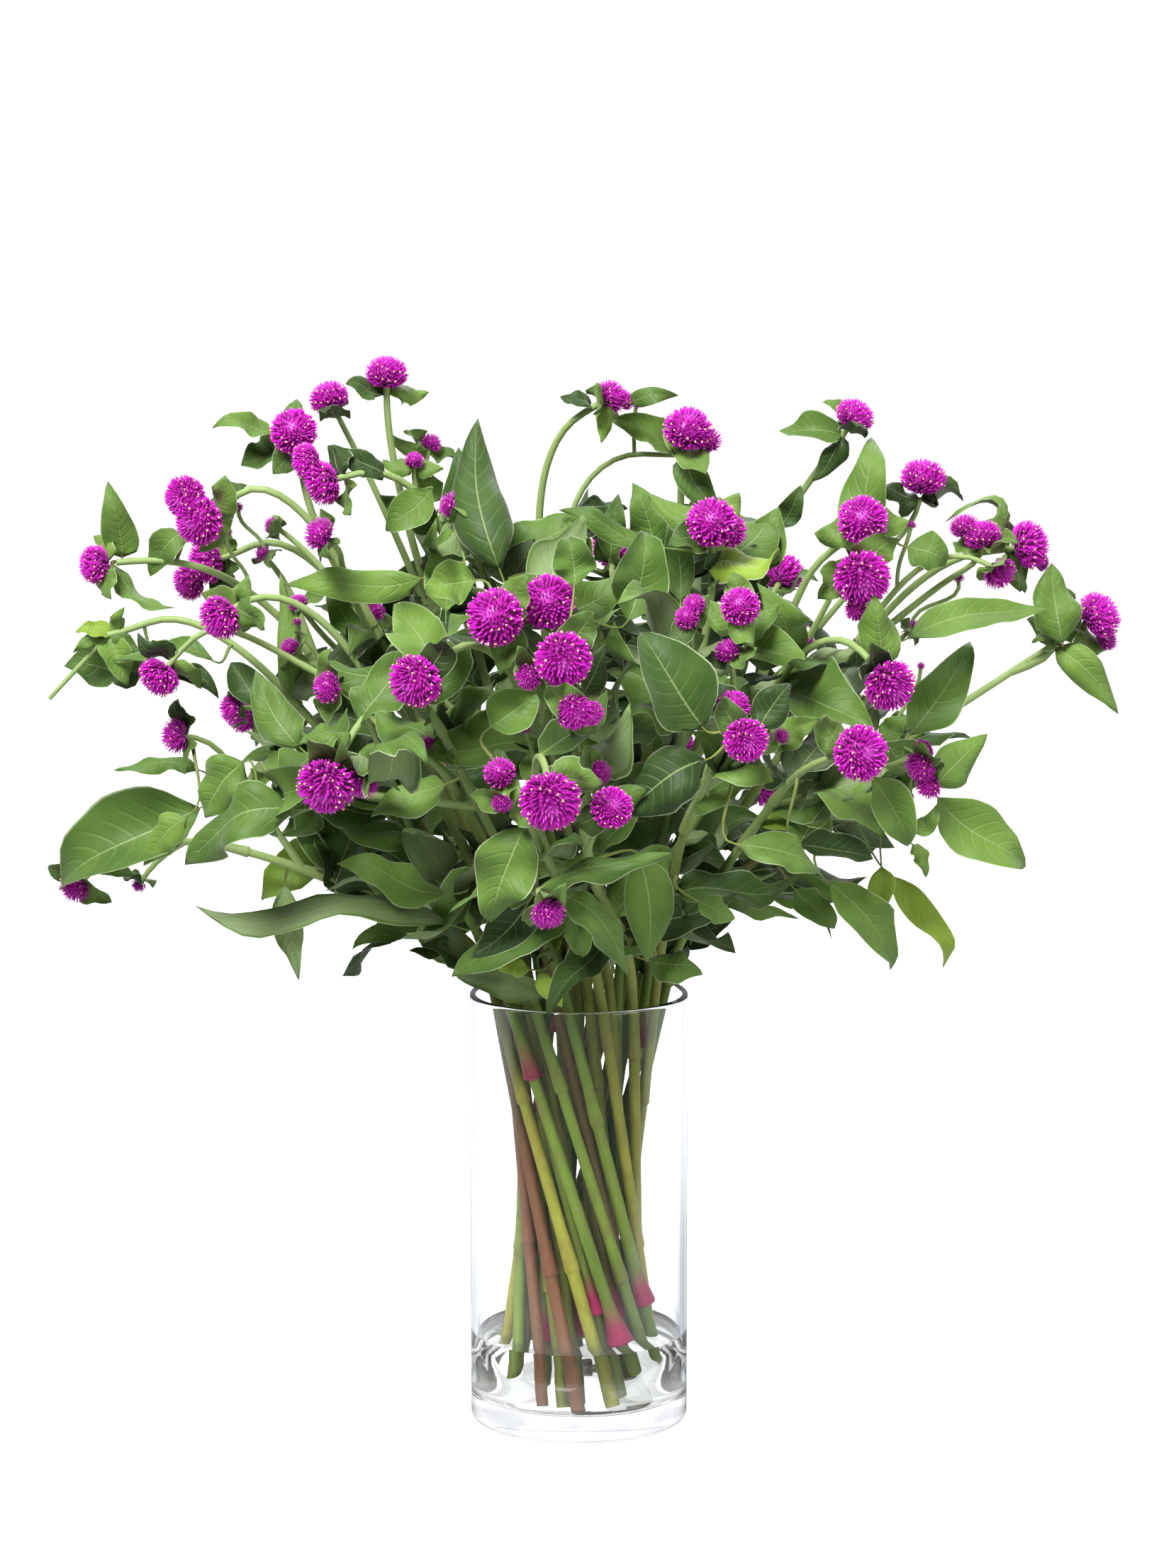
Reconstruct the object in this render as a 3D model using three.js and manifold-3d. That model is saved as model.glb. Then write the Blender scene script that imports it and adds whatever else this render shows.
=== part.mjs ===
// Globe amaranth stems in a clear glass cylinder vase: a hand-tied, all-round arrangement.
// Millimetres, +Z up, origin at the centre of the vase's foot, -Y towards the viewer.
// Each leafy stem is one solid with its leaves and its small blooms. Large blooms are solids of their own.
import * as THREE from "three";
import { mergeGeometries, mergeVertices } from "three/addons/utils/BufferGeometryUtils.js";
import Module from "manifold-3d";

const wasm = await Module();
wasm.setup();

// Driving sizes
const vase = { outerRadius: 50, height: 200, wall: 3, floor: 12, sides: 28, edge: 1 };
const water = { top: 40 };
const gap = 0.3;
const leastGap = 0.297;
const seatGap = 0.2;
const weld = 1e-4;

// The bundle of stems is a twisted sheaf: straight lines that all turn the same way round the axis
const sheaf = {
  twist: 97, bottom: vase.floor + 1.1, ringRadii: [9, 24, 39.5], ringCounts: [4, 10, 16],
  lead: 28, leanAt: 300,
};
const stemRadius = { foot: 2.4, rim: 2.1, tip: 1.5, sideShare: 0.8, bare: [1.2, 1] };
const hole = { wider: 0.45, past: 3 };
const sides = { main: 4, side: 3 };
const thread = 0.1;
const leastBend = 2;
const rootSteps = 5;

// Blooms and leaves lie on a dome over the rim; layer 1 is its near side and -1 its far side
const dome = { centre: 262, across: 258, deep: 175, high: 232, least: 0.04 };
// The eye that looked at the arrangement. Places are given where they are seen against the plane
// through the vase's axis, and slide along the line of sight to their own depth.
const eye = new THREE.Vector3(4, -1923, 585);

// Shares of a bloom's half size, except ownNode and bud, diameters in mm, and neck and behind, lengths
const bloomShape = {
  squash: 0.86, under: 0.72, tip: 1.07, valley: 0.9, ownNode: 19, bud: 11,
  seat: 0.648, sunk: 0.3, neck: 12, neckShare: 0.4, behind: 3,
};
// fold, wave and twist shape a blade. A leaf starts behind the middle of its stalk, is petiole wide
// where it leaves it, and has a stalk of its own where its foot is further off than stalked.
const leafShape = {
  thick: 1.5, swell: 0.75, power: 0.9, fold: 0.14, wave: 0.12, waves: 9, twist: 0.7,
  root: 5, start: 0.5, leave: 1.6, petiole: 1, stalked: 8, bare: 8,
  short: 36, shortStations: [0.3, 0.72], longStations: [0.2, 0.5, 0.8],
};

// Every stem lists its tips. A tip is a bloom: x, z and layer of its middle, its diameter, the way it
// points in the picture (0 right, 90 up) and how far it turns to the viewer, the points its stalk bends
// past, and for a side stalk the share of the main stalk where it forks. with: smaller heads beside it.
const stems = [
  { tips: [
    { at: [-86, 482, 0.1], d: 19, aim: 88, turn: 8, past: [[-72, 392], [-83, 440]] },
    { at: [-112, 471, 0.1], d: 18, aim: 115, turn: 10, past: [[-92, 432]], fork: 0.55 },
    { at: [-66, 451, -0.2], d: 10, aim: 60, turn: 0, fork: 0.6 }] },
  { tips: [
    { at: [-128, 456, 0.4], d: 21, aim: 100, turn: 60, past: [[-98, 372], [-124, 424]] },
    { at: [-117, 410, 0.6], d: 15, aim: 150, turn: 20, past: [[-110, 396]], fork: 0.5 }] },
  { tips: [
    { at: [-115, 433, 0.3], d: 20, aim: 195, turn: 10, past: [[-52, 380], [-66, 428], [-92, 441]],
      with: [[-7, 9, 17]] },
    { at: [-74, 443, 0.1], d: 9, aim: 80, turn: 20, fork: 0.6 }] },
  { tips: [
    { at: [-171, 416, 0.5], d: 23, aim: 200, turn: 50, past: [[-104, 386], [-128, 418], [-150, 428]],
      with: [[-6, 10, 20]] },
    { at: [-138, 414, -0.1], d: 9, aim: 150, turn: 0, fork: 0.6 }] },
  { tips: [
    { at: [-218, 396, 0.1], d: 18, aim: 185, turn: 15, past: [[-120, 360], [-160, 394], [-190, 399]] },
    { at: [-143, 401, 0], d: 8, aim: 140, turn: 10, fork: 0.6 }] },
  { tips: [
    { at: [-168, 397, 0.1], d: 20, aim: 190, turn: 20, past: [[-100, 376], [-122, 402], [-145, 411]],
      with: [[-8, -9, 18]] },
    { at: [-127, 379, 0.2], d: 9, aim: 120, turn: 10, fork: 0.5 }] },
  { tips: [
    { at: [-162, 372, 0.6], d: 20, aim: 215, turn: 30, past: [[-96, 350], [-124, 380], [-146, 384]] },
    { at: [-190, 345, 0.5], d: 19, aim: 230, turn: 15, past: [[-162, 372], [-174, 366]], fork: 0.6 },
    { at: [-131, 358, 0.3], d: 10, aim: 150, turn: 10, fork: 0.5 }] },
  { bareEnd: [-240, 335], tips: [
    { at: [-213, 364, 0.2], d: 0, aim: 185, turn: 10, past: [[-130, 338], [-165, 368], [-190, 375]] },
    { at: [-157, 330, 0.5], d: 14, aim: 200, turn: 20, fork: 0.4 },
    { at: [-114, 340, 0.8], d: 14, aim: 180, turn: 30, fork: 0.3 }] },
  { tips: [
    { at: [-230, 248, 0.1], d: 15, aim: 230, turn: 25, past: [[-110, 252], [-180, 274], [-212, 262]] },
    { at: [-183, 318, 0.3], d: 16, aim: 185, turn: 0, past: [[-160, 308]], fork: 0.5 },
    { at: [-201, 249, -0.1], d: 8, aim: 240, turn: 0, fork: 0.75 }] },
  { tips: [
    { at: [-115, 295, 0.9], d: 25, aim: 245, turn: 45, past: [[-48, 290], [-72, 342], [-94, 334]] },
    { at: [-146, 287, 0.6], d: 13, aim: 195, turn: 10, past: [[-128, 295]], fork: 0.45 }] },
  { tips: [
    { at: [-99, 296, 0.8], d: 15, aim: 250, turn: 10, past: [[-46, 272], [-62, 308], [-86, 313]] },
    { at: [-68, 313, 0.5], d: 10, aim: 200, turn: 30, fork: 0.5 }] },
  { tips: [
    { at: [-74, 343, 0.95], d: 23, aim: 215, turn: 50, past: [[-8, 300], [-30, 350], [-50, 364]] }] },
  { tips: [
    { at: [-55, 423, 0.4], d: 16, aim: 105, turn: 0, past: [[-36, 372], [-46, 402]] },
    { at: [-92, 375, 0.1], d: 10, aim: 60, turn: 10, fork: 0.4 }] },
  { tips: [
    { at: [15, 472, 0], d: 16, aim: 35, turn: 0, past: [[-19, 396], [-17, 440], [-4, 464]],
      with: [[6, -2, 10]] }] },
  { tips: [
    { at: [49, 457, 0.3], d: 22, aim: 80, turn: 30, past: [[46, 385], [46, 425]], with: [[9, -5, 13]] },
    { at: [50, 446, -0.2], d: 12, aim: 10, turn: 0, past: [[-8, 396], [-2, 432], [22, 450]], fork: 0.05 }] },
  { tips: [
    { at: [60, 415, 0.5], d: 22, aim: 90, turn: 65, past: [[62, 380]], with: [[8, -4, 15]] },
    { at: [73, 377, 0.8], d: 17, aim: 90, turn: 55, past: [[80, 352]], fork: 0.4 },
    { at: [49, 372, 0.85], d: 11, aim: 110, turn: 45, fork: 0.5, with: [[3, 5, 10]] }] },
  { tips: [
    { at: [-38, 372, 0.8], d: 25, aim: 150, turn: 60, past: [[-26, 330]] },
    { at: [-23, 345, 0.9], d: 12, aim: 220, turn: 40, fork: 0.55 }] },
  { tips: [
    { at: [-14, 379, 0.65], d: 24, aim: 100, turn: 70, past: [[-4, 340]] },
    { at: [-7, 353, 0.95], d: 24, aim: -80, turn: 70, fork: 0.5 },
    { at: [-2, 329, 1], d: 16, aim: -60, turn: 60, fork: 0.4, with: [[7, -1, 11]] }] },
  { tips: [
    { at: [-13, 288, 1], d: 26, aim: -85, turn: 60, past: [[-20, 270], [-20, 316]] },
    { at: [-36, 301, 0.9], d: 14, aim: 120, turn: 40, fork: 0.4 },
    { at: [-35, 287, 0.95], d: 9, aim: -100, turn: 40, fork: 0.4 }] },
  { tips: [
    { at: [15, 285, 0.9], d: 18, aim: 60, turn: 60, past: [[0, 262]] },
    { at: [10, 301, 0.75], d: 11, aim: 20, turn: 20, fork: 0.6 },
    { at: [-14, 236, 1], d: 15, aim: -70, turn: 35, past: [[-24, 244]], fork: 0.3 }] },
  { tips: [
    { at: [124, 463, 0], d: 18, aim: 60, turn: 5, past: [[84, 405], [106, 437]] },
    { at: [155, 435, -0.15], d: 21, aim: 85, turn: 5, past: [[118, 380], [148, 412]], fork: 0.3 }] },
  { tips: [
    { at: [128, 416, 0.5], d: 22, aim: 90, turn: 65, past: [[96, 372], [106, 400]] },
    { at: [128, 390, 0.7], d: 25, aim: -70, turn: 60, past: [[104, 360]], fork: 0.45,
      with: [[-2, -14, 11]] }] },
  { tips: [
    { at: [203, 405, 0], d: 22, aim: 15, turn: 5, past: [[120, 352], [152, 390], [182, 405]],
      with: [[6, -8, 9]] },
    { at: [182, 409, 0.1], d: 17, aim: 100, turn: 0, past: [[176, 398]], fork: 0.65,
      with: [[-8, 4, 14]] },
    { at: [190, 392, 0.2], d: 16, aim: -45, turn: 10, past: [[150, 399]], fork: 0.5 }] },
  { tips: [
    { at: [235, 373, 0], d: 22, aim: 35, turn: 10, past: [[120, 298], [170, 330]],
      with: [[4, -11, 12]] },
    { at: [217, 367, 0.1], d: 9, aim: 110, turn: 10, fork: 0.85 },
    { at: [152, 368, -0.1], d: 8, aim: 30, turn: 0, fork: 0.45 }] },
  { tips: [
    { at: [141, 341, 0.8], d: 23, aim: -50, turn: 45, past: [[78, 318], [98, 358], [122, 366]] },
    { at: [67, 357, 0.75], d: 11, aim: 120, turn: 30, fork: 0.4 }] },
  { tips: [
    { at: [76, 316, 1], d: 19, aim: -60, turn: 65, past: [[50, 290], [72, 306]] },
    { at: [70, 331, 0.9], d: 15, aim: 100, turn: 55, fork: 0.5 },
    { at: [92, 318, 0.85], d: 8, aim: 40, turn: 30, fork: 0.6 }] },
  { tips: [
    { at: [128, 310, 0.85], d: 24, aim: 20, turn: 60, past: [[84, 282], [100, 303]] },
    { at: [155, 304, 0.6], d: 15, aim: 215, turn: 20, past: [[140, 304]], fork: 0.6,
      with: [[2, 7, 10], [4, -9, 13]] }] },
  { behind: true, tips: [
    { at: [-104, 380, -0.75], d: 22, aim: 130, turn: -50, past: [[-52, 310], [-84, 362]] },
    { at: [-152, 328, -0.6], d: 18, aim: 170, turn: -30, past: [[-118, 330]], fork: 0.4 },
    { at: [-66, 305, -0.9], d: 16, aim: 200, turn: -50, past: [[-56, 318]], fork: 0.3 }] },
  { behind: true, tips: [
    { at: [16, 404, -0.7], d: 23, aim: 90, turn: -45, past: [[5, 320], [10, 385]] },
    { at: [-26, 340, -0.85], d: 20, aim: 100, turn: -60, past: [[-16, 345]], fork: 0.4 },
    { at: [48, 312, -0.9], d: 15, aim: 60, turn: -60, past: [[36, 325]], fork: 0.3 }] },
  { behind: true, tips: [
    { at: [92, 392, -0.65], d: 21, aim: 70, turn: -40, past: [[45, 310], [78, 375]] },
    { at: [140, 340, -0.6], d: 18, aim: 30, turn: -30, past: [[108, 338]], fork: 0.4 },
    { at: [84, 292, -0.85], d: 14, aim: -20, turn: -50, past: [[66, 304]], fork: 0.25 }] },
];

// Leaves that show in the outline: foot and tip as seen, layer, width, and the slope of the upper face
// (0 faces the viewer, 90 faces up)
const shownLeaves = [
  { foot: [-35, 392], tip: [-46, 467], layer: 0.45, wide: 29, face: 8, bow: -0.03 },
  { foot: [-57, 402], tip: [-54, 449], layer: 0.2, wide: 19, face: 10 },
  { foot: [-60, 374], tip: [-58, 414], layer: 0.4, wide: 19, face: 5 },
  { foot: [-66, 430], tip: [-88, 412], layer: 0.2, wide: 18, face: 20 },
  { foot: [-70, 390], tip: [-134, 388], layer: 0.3, wide: 17, face: 35, bow: 0.08 },
  { foot: [-70, 352], tip: [-85, 380], layer: 0.85, wide: 22, face: 10 },
  { foot: [-46, 389], tip: [-70, 384], layer: 0.7, wide: 19, face: 15 },
  { foot: [-2, 386], tip: [-5, 409], layer: 0.75, wide: 19, face: 25 },
  { foot: [-6, 388], tip: [-4, 416], layer: 0.35, wide: 20, face: 5 },
  { foot: [35, 404], tip: [-8, 424], layer: 0.3, wide: 13, face: 40 },
  { foot: [14, 398], tip: [18, 428], layer: 0.1, wide: 13, face: 0 },
  { foot: [34, 398], tip: [24, 433], layer: 0.15, wide: 19, face: 0 },
  { foot: [22, 370], tip: [30, 412], layer: 0.6, wide: 24, face: 5 },
  { foot: [46, 378], tip: [41, 422], layer: 0.2, wide: 14, face: 0 },
  { foot: [57, 321], tip: [28, 366], layer: 0.85, wide: 31, face: 25, bow: 0.1 },
  { foot: [58, 307], tip: [20, 282], layer: 1, wide: 31, face: 25, bow: 0.08 },
  { foot: [-24, 277], tip: [-41, 231], layer: 1, wide: 27, face: 15, bow: 0.08 },
  { foot: [-20, 252], tip: [42, 269], layer: 0.9, wide: 14, face: 55 },
  { foot: [-12, 246], tip: [26, 208], layer: 0.8, wide: 17, face: 35, bow: 0.12 },
  { foot: [28, 262], tip: [31, 212], layer: 0.55, wide: 24, face: 10 },
  { foot: [32, 214], tip: [57, 208], layer: 0.45, wide: 18, face: 45, bow: 0.15 },
  { foot: [-18, 210], tip: [-7, 192], layer: 0.42, wide: 11, face: 25, bow: 0.2 },
  { foot: [-22, 210], tip: [-42, 218], layer: 0.4, wide: 11, face: 45 },
  { foot: [-56, 230], tip: [-175, 236], layer: 0.45, wide: 24, face: 60, bow: 0.08 },
  { foot: [-64, 226], tip: [-104, 221], layer: 0.1, wide: 15, face: 60 },
  { foot: [-128, 284], tip: [-184, 261], layer: 0.65, wide: 29, face: 35, bow: 0.1 },
  { foot: [-172, 285], tip: [-238, 248], layer: 0.2, wide: 37, face: 35, bow: 0.16 },
  { foot: [-178, 281], tip: [-200, 258], layer: 0.4, wide: 17, face: 30 },
  { foot: [-152, 306], tip: [-173, 280], layer: 0.6, wide: 28, face: 30 },
  { foot: [-172, 302], tip: [-212, 305], layer: 0.1, wide: 11, face: 50 },
  { foot: [-126, 312], tip: [-147, 349], layer: 0.85, wide: 21, face: 5 },
  { foot: [-146, 331], tip: [-158, 352], layer: 0.6, wide: 14, face: 10 },
  { foot: [-134, 250], tip: [-128, 206], layer: 0, wide: 15, face: 20 },
  { foot: [-110, 262], tip: [-60, 245], layer: 0.5, wide: 22, face: 50 },
  { foot: [-195, 350], tip: [-234, 353], layer: 0.1, wide: 24, face: 40, bow: -0.2 },
  { foot: [-165, 352], tip: [-212, 357], layer: 0.3, wide: 11, face: 60 },
  { foot: [119, 452], tip: [90, 457], layer: -0.05, wide: 15, face: 35, bow: 0.15 },
  { foot: [125, 396], tip: [133, 458], layer: 0.35, wide: 22, face: 5 },
  { foot: [148, 404], tip: [166, 396], layer: 0.1, wide: 20, face: 30, bow: 0.25 },
  { foot: [148, 362], tip: [212, 377], layer: 0.45, wide: 20, face: 45, bow: 0.06 },
  { foot: [219, 360], tip: [214, 397], layer: 0.2, wide: 24, face: 5 },
  { foot: [150, 318], tip: [178, 362], layer: 0.3, wide: 22, face: 10 },
  { foot: [82, 322], tip: [97, 343], layer: 0.95, wide: 18, face: 15 },
  { foot: [161, 294], tip: [187, 320], layer: 0.5, wide: 20, face: 10 },
  { foot: [163, 290], tip: [205, 258], layer: 0.5, wide: 27, face: 25, bow: 0.08 },
  { foot: [133, 299], tip: [151, 266], layer: 0.9, wide: 18, face: 15 },
  { foot: [113, 251], tip: [147, 208], layer: 0.5, wide: 19, face: 25, bow: 0.1 },
  { foot: [141, 254], tip: [169, 210], layer: 0.35, wide: 13, face: 35, bow: 0.15 },
  { foot: [138, 258], tip: [135, 236], layer: 0.45, wide: 13, face: 15 },
  { foot: [98, 248], tip: [118, 229], layer: 0.1, wide: 15, face: 20 },
  { foot: [72, 268], tip: [114, 258], layer: 0.8, wide: 19, face: 40, bow: 0.1 },
  { foot: [100, 268], tip: [136, 264], layer: 0.6, wide: 15, face: 40 },
  { foot: [98, 266], tip: [112, 293], layer: 0.4, wide: 20, face: 5 },
  { foot: [54, 242], tip: [72, 234], layer: 0.6, wide: 13, face: 35 },
  { foot: [82, 340], tip: [90, 310], layer: 0.3, wide: 18, face: 10 },
  { foot: [-40, 322], tip: [-18, 338], layer: 0.7, wide: 20, face: 15 },
  { foot: [-60, 296], tip: [-96, 282], layer: 0.7, wide: 20, face: 40 },
  { foot: [90, 412], tip: [100, 432], layer: 0, wide: 12, face: 10 },
  { foot: [82, 392], tip: [90, 422], layer: 0.1, wide: 18, face: 10 },
];

// Plain leaves, in pairs on each main stalk: shares of its length above the rim, and their size
const pairs = {
  at: [0.26, 0.45, 0.62], long: [62, 58, 50], front: 1, behind: 3, vary: 0.3, swing: 2, bow: [0.06, -0.2],
  wideShare: 0.36, rise: 0.45, tries: 12, step: 30, shares: [0.28, 0.7],
};
// Two small leaves under each bloom
const collar = {
  long: 9, perBloom: 0.55, wideShare: 0.62, rise: 0.25, tries: 6, step: 30, below: 2.5, bow: -0.08,
  swing: 3, shares: [0.3, 0.7],
};
const shorter = 0.72;
const shownTries = [0, 9, -9, 18, -18, 27, -27, 36];
const stalkTries = { depth: [0, 7, -7, 14, -14, 22, -22, 32, -32, 44, -44], rise: [0, 8, -8, 16, -16] };

const radians = THREE.MathUtils.degToRad;
const point = (x, y, z) => new THREE.Vector3(x, y, z);

// A repeatable draw from 0 to 1
function draw(n) {
  const s = Math.sin(n * 12.9898 + 4.1414) * 43758.5453;
  return s - Math.floor(s);
}

// The point seen at x, z against the axis plane, slid along the line of sight to a depth
function seen(x, z, depth) {
  const share = depth / -eye.y;
  return point(x + (x - eye.x) * share, depth, z + (z - eye.z) * share);
}

function depthOf(x, z, layer) {
  const free = 1 - (x / dome.across) ** 2 - ((z - dome.centre) / dome.high) ** 2;
  return -layer * dome.deep * Math.sqrt(Math.max(free, dome.least));
}

function pointing(aim, turn) {
  const flat = Math.cos(radians(turn));
  return point(flat * Math.cos(radians(aim)), -Math.sin(radians(turn)), flat * Math.sin(radians(aim)));
}

// A straight line of the sheaf, from its foot ring towards the rim and past it
function sheafPoint(foot, z) {
  const share = (z - sheaf.bottom) / (vase.height - sheaf.bottom);
  const turn = radians(-sheaf.twist);
  const re = 1 - share + share * Math.cos(turn);
  const im = share * Math.sin(turn);
  return point(foot.x * re - foot.y * im, foot.x * im + foot.y * re, z);
}

// Corner cutting: the ends stay and every other corner is rounded
function rounded(points, times) {
  let list = points;
  for (let n = 0; n < times; n++) {
    const next = [list[0]];
    for (let i = 0; i < list.length - 1; i++) {
      if (i > 0) next.push(list[i].clone().lerp(list[i + 1], 0.25));
      if (i < list.length - 2) next.push(list[i].clone().lerp(list[i + 1], 0.75));
    }
    next.push(list[list.length - 1]);
    list = next;
  }
  return list;
}

// Leaves out the points that a line hardly bends at
function thinned(line, least) {
  const kept = [line[0]];
  for (let i = 1; i < line.length - 1; i++) {
    const straight = new THREE.Line3(kept[kept.length - 1], line[i + 1]);
    const near = straight.closestPointToPoint(line[i], true, point(0, 0, 0));
    if (near.distanceTo(line[i]) > least) kept.push(line[i]);
  }
  return [...kept, line[line.length - 1]];
}

// The point at a share of a line's length, and the line's direction there
function along(line, share) {
  const steps = line.slice(1).map((p, i) => p.distanceTo(line[i]));
  let left = share * steps.reduce((a, b) => a + b, 0);
  for (let i = 0; i < steps.length; i++) {
    if (left <= steps[i] || i === steps.length - 1) {
      const way = line[i + 1].clone().sub(line[i]).normalize();
      return { at: line[i].clone().addScaledVector(way, Math.min(left, steps[i])), way };
    }
    left -= steps[i];
  }
}

function solid(geometry) {
  for (const name of ["normal", "uv"]) geometry.deleteAttribute(name);
  const merged = mergeVertices(geometry, weld);
  const kept = [];
  for (let i = 0; i < merged.index.count; i += 3) {
    const [a, b, c] = [0, 1, 2].map((k) => merged.index.getX(i + k));
    if (a !== b && b !== c && c !== a) kept.push(a, b, c);
  }
  return new wasm.Manifold(
    new wasm.Mesh({
      numProp: 3,
      vertProperties: Float32Array.from(merged.getAttribute("position").array),
      triVerts: Uint32Array.from(kept),
    }),
  );
}

// A path whose steps are its own points, so that a straight stretch takes one step
class Path extends THREE.CatmullRomCurve3 {
  getUtoTmapping(u) {
    return u;
  }
}

// A stalk along a line, drawn as a thread and then thickened to radii[k] at its k-th point
function stalkSolid(line, radii, count) {
  const corners = [...Array(count).keys()].map((i) => {
    const a = (2 * Math.PI * i) / count;
    return new THREE.Vector2(thread * Math.cos(a), thread * Math.sin(a));
  });
  const settings = { steps: line.length - 1, bevelEnabled: false, extrudePath: new Path(line) };
  const tube = new THREE.ExtrudeGeometry(new THREE.Shape(corners), settings);
  const p = tube.getAttribute("position");
  for (let i = 0; i < p.count; i++) {
    const v = point(p.getX(i), p.getY(i), p.getZ(i));
    const near = line.reduce((best, q, k) => (v.distanceTo(q) < v.distanceTo(line[best]) ? k : best), 0);
    const out = v.sub(line[near]).multiplyScalar(radii[near] / thread).add(line[near]);
    p.setXYZ(i, out.x, out.y, out.z);
  }
  return solid(tube);
}

// Half width of a leaf at a share of its length
const spread = (leaf, t) => (leaf.wide / 2) * Math.sin(Math.PI * t ** leafShape.swell) ** leafShape.power;

// The midrib's point, and the directions to the leaf's side and upper face, at a share of its length
function ribFrame(leaf, t) {
  const axis = leaf.tip.clone().sub(leaf.foot);
  const long = axis.length();
  axis.normalize();
  const up = leaf.up.clone().addScaledVector(axis, -leaf.up.dot(axis)).normalize();
  const side = axis.clone().cross(up).applyAxisAngle(axis, leaf.twist * (t - 0.5));
  const top = side.clone().cross(axis);
  const at = leaf.foot.clone().addScaledVector(axis, long * t);
  at.addScaledVector(up, leaf.bow * long * 4 * t * (1 - t));
  return { at, side, top };
}

// The stalk of a leaf that grows away from its root: narrow where it leaves, and at the blade's foot
function petioleRings(leaf, start) {
  const way = start.at.clone().sub(leaf.root);
  const far = way.length();
  if (far < leafShape.stalked) return [{ ...start, at: leaf.root }];
  way.normalize();
  const side = way.clone().cross(start.top).normalize();
  const frame = { side, top: side.clone().cross(way), t: 0 };
  const onWay = (far) => leaf.root.clone().addScaledVector(way, far);
  return [
    { ...frame, at: onWay(-leafShape.start), half: 0 },
    { ...frame, at: onWay(leafShape.leave), half: leafShape.petiole },
    { ...start, half: leafShape.petiole },
  ];
}

// A leaf blade: folded along its rib and waved at its edges. Two like sheets, split into triangles
// alike, meet at the edge and lie a leaf's thickness apart at the rib.
function leafSolid(leaf) {
  const blade = leaf.shares.map((t) => ({ ...ribFrame(leaf, t), half: spread(leaf, t), t }));
  const start = { ...ribFrame(leaf, 0), half: 0, t: 0 };
  const petiole = leaf.root ? petioleRings(leaf, start) : [start];
  const rings = [...petiole, ...blade, { ...ribFrame(leaf, 1), half: 0, t: 1 }];
  const rows = rings.length - 1;
  const sheets = [1, -1].map((face) => {
    const sheet = new THREE.PlaneGeometry(2, 1, 2, rows);
    const p = sheet.getAttribute("position");
    for (let i = 0; i < p.count; i++) {
      const { at, side, top, half, t } = rings[Math.round((0.5 - p.getY(i)) * rows)];
      const x = p.getX(i);
      const wave = leaf.wave * Math.sin(leafShape.waves * t + leaf.phase) * Math.sign(x);
      const rise = half === 0 || x !== 0 ? 0 : (face * leafShape.thick) / 2;
      const v = at.clone().addScaledVector(side, x * half);
      v.addScaledVector(top, rise + Math.abs(x) * half * (leaf.fold + wave));
      p.setXYZ(i, v.x, v.y, v.z);
    }
    if (face > 0) sheet.setIndex(Array.from(sheet.index.array).reverse());
    return sheet;
  });
  return solid(mergeGeometries(sheets));
}

// A bloom: a globe covered in bracts, each a low spike raised over one face of the globe
function bloomSolid(at, d, way, detail) {
  const ball = new THREE.OctahedronGeometry(1, detail);
  const p = ball.getAttribute("position");
  const corners = [];
  for (let i = 0; i < p.count; i += 3) {
    const three = [0, 1, 2].map((k) => point(p.getX(i + k), p.getY(i + k), p.getZ(i + k)).normalize());
    const middle = three[0].clone().add(three[1]).add(three[2]).normalize().multiplyScalar(bloomShape.tip);
    three.forEach((v) => v.multiplyScalar(bloomShape.valley));
    if (d < bloomShape.bud) corners.push(...three);
    else for (let k = 0; k < 3; k++) corners.push(three[k], three[(k + 1) % 3], middle);
  }
  const turn = new THREE.Quaternion().setFromUnitVectors(point(0, 1, 0), way);
  const half = d / 2;
  const flat = new Float32Array(corners.length * 3);
  corners.forEach((c, i) => {
    const v = point(c.x, c.y * (c.y < 0 ? bloomShape.under : bloomShape.squash), c.z);
    v.multiplyScalar(half).applyQuaternion(turn).add(at);
    v.toArray(flat, i * 3);
  });
  return solid(new THREE.BufferGeometry().setAttribute("position", new THREE.BufferAttribute(flat, 3)));
}

// The vase: one turned profile, its floor thick as on pressed glass
function vaseSolid() {
  const { outerRadius: r, height, wall, floor, edge, sides } = vase;
  const profile = [[0, 0], [r - 2 * edge, 0], [r, 2 * edge], [r, height - edge], [r - edge, height],
    [r - wall + edge, height], [r - wall, height - edge], [r - wall, floor + 2 * edge],
    [r - wall - 2 * edge, floor], [0, floor]];
  const turned = new THREE.LatheGeometry(profile.map(([x, y]) => new THREE.Vector2(x, y)), sides);
  return solid(turned.rotateX(Math.PI / 2));
}

function waterSolid() {
  const r = vase.outerRadius - vase.wall - gap;
  const low = vase.floor + gap;
  const rise = low + 2 * vase.edge;
  const profile = [[0, low], [r - 2 * vase.edge, low], [r, rise], [r, water.top], [0, water.top]];
  const turned = new THREE.LatheGeometry(profile.map(([x, y]) => new THREE.Vector2(x, y)), vase.sides);
  return solid(turned.rotateX(Math.PI / 2));
}

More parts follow.
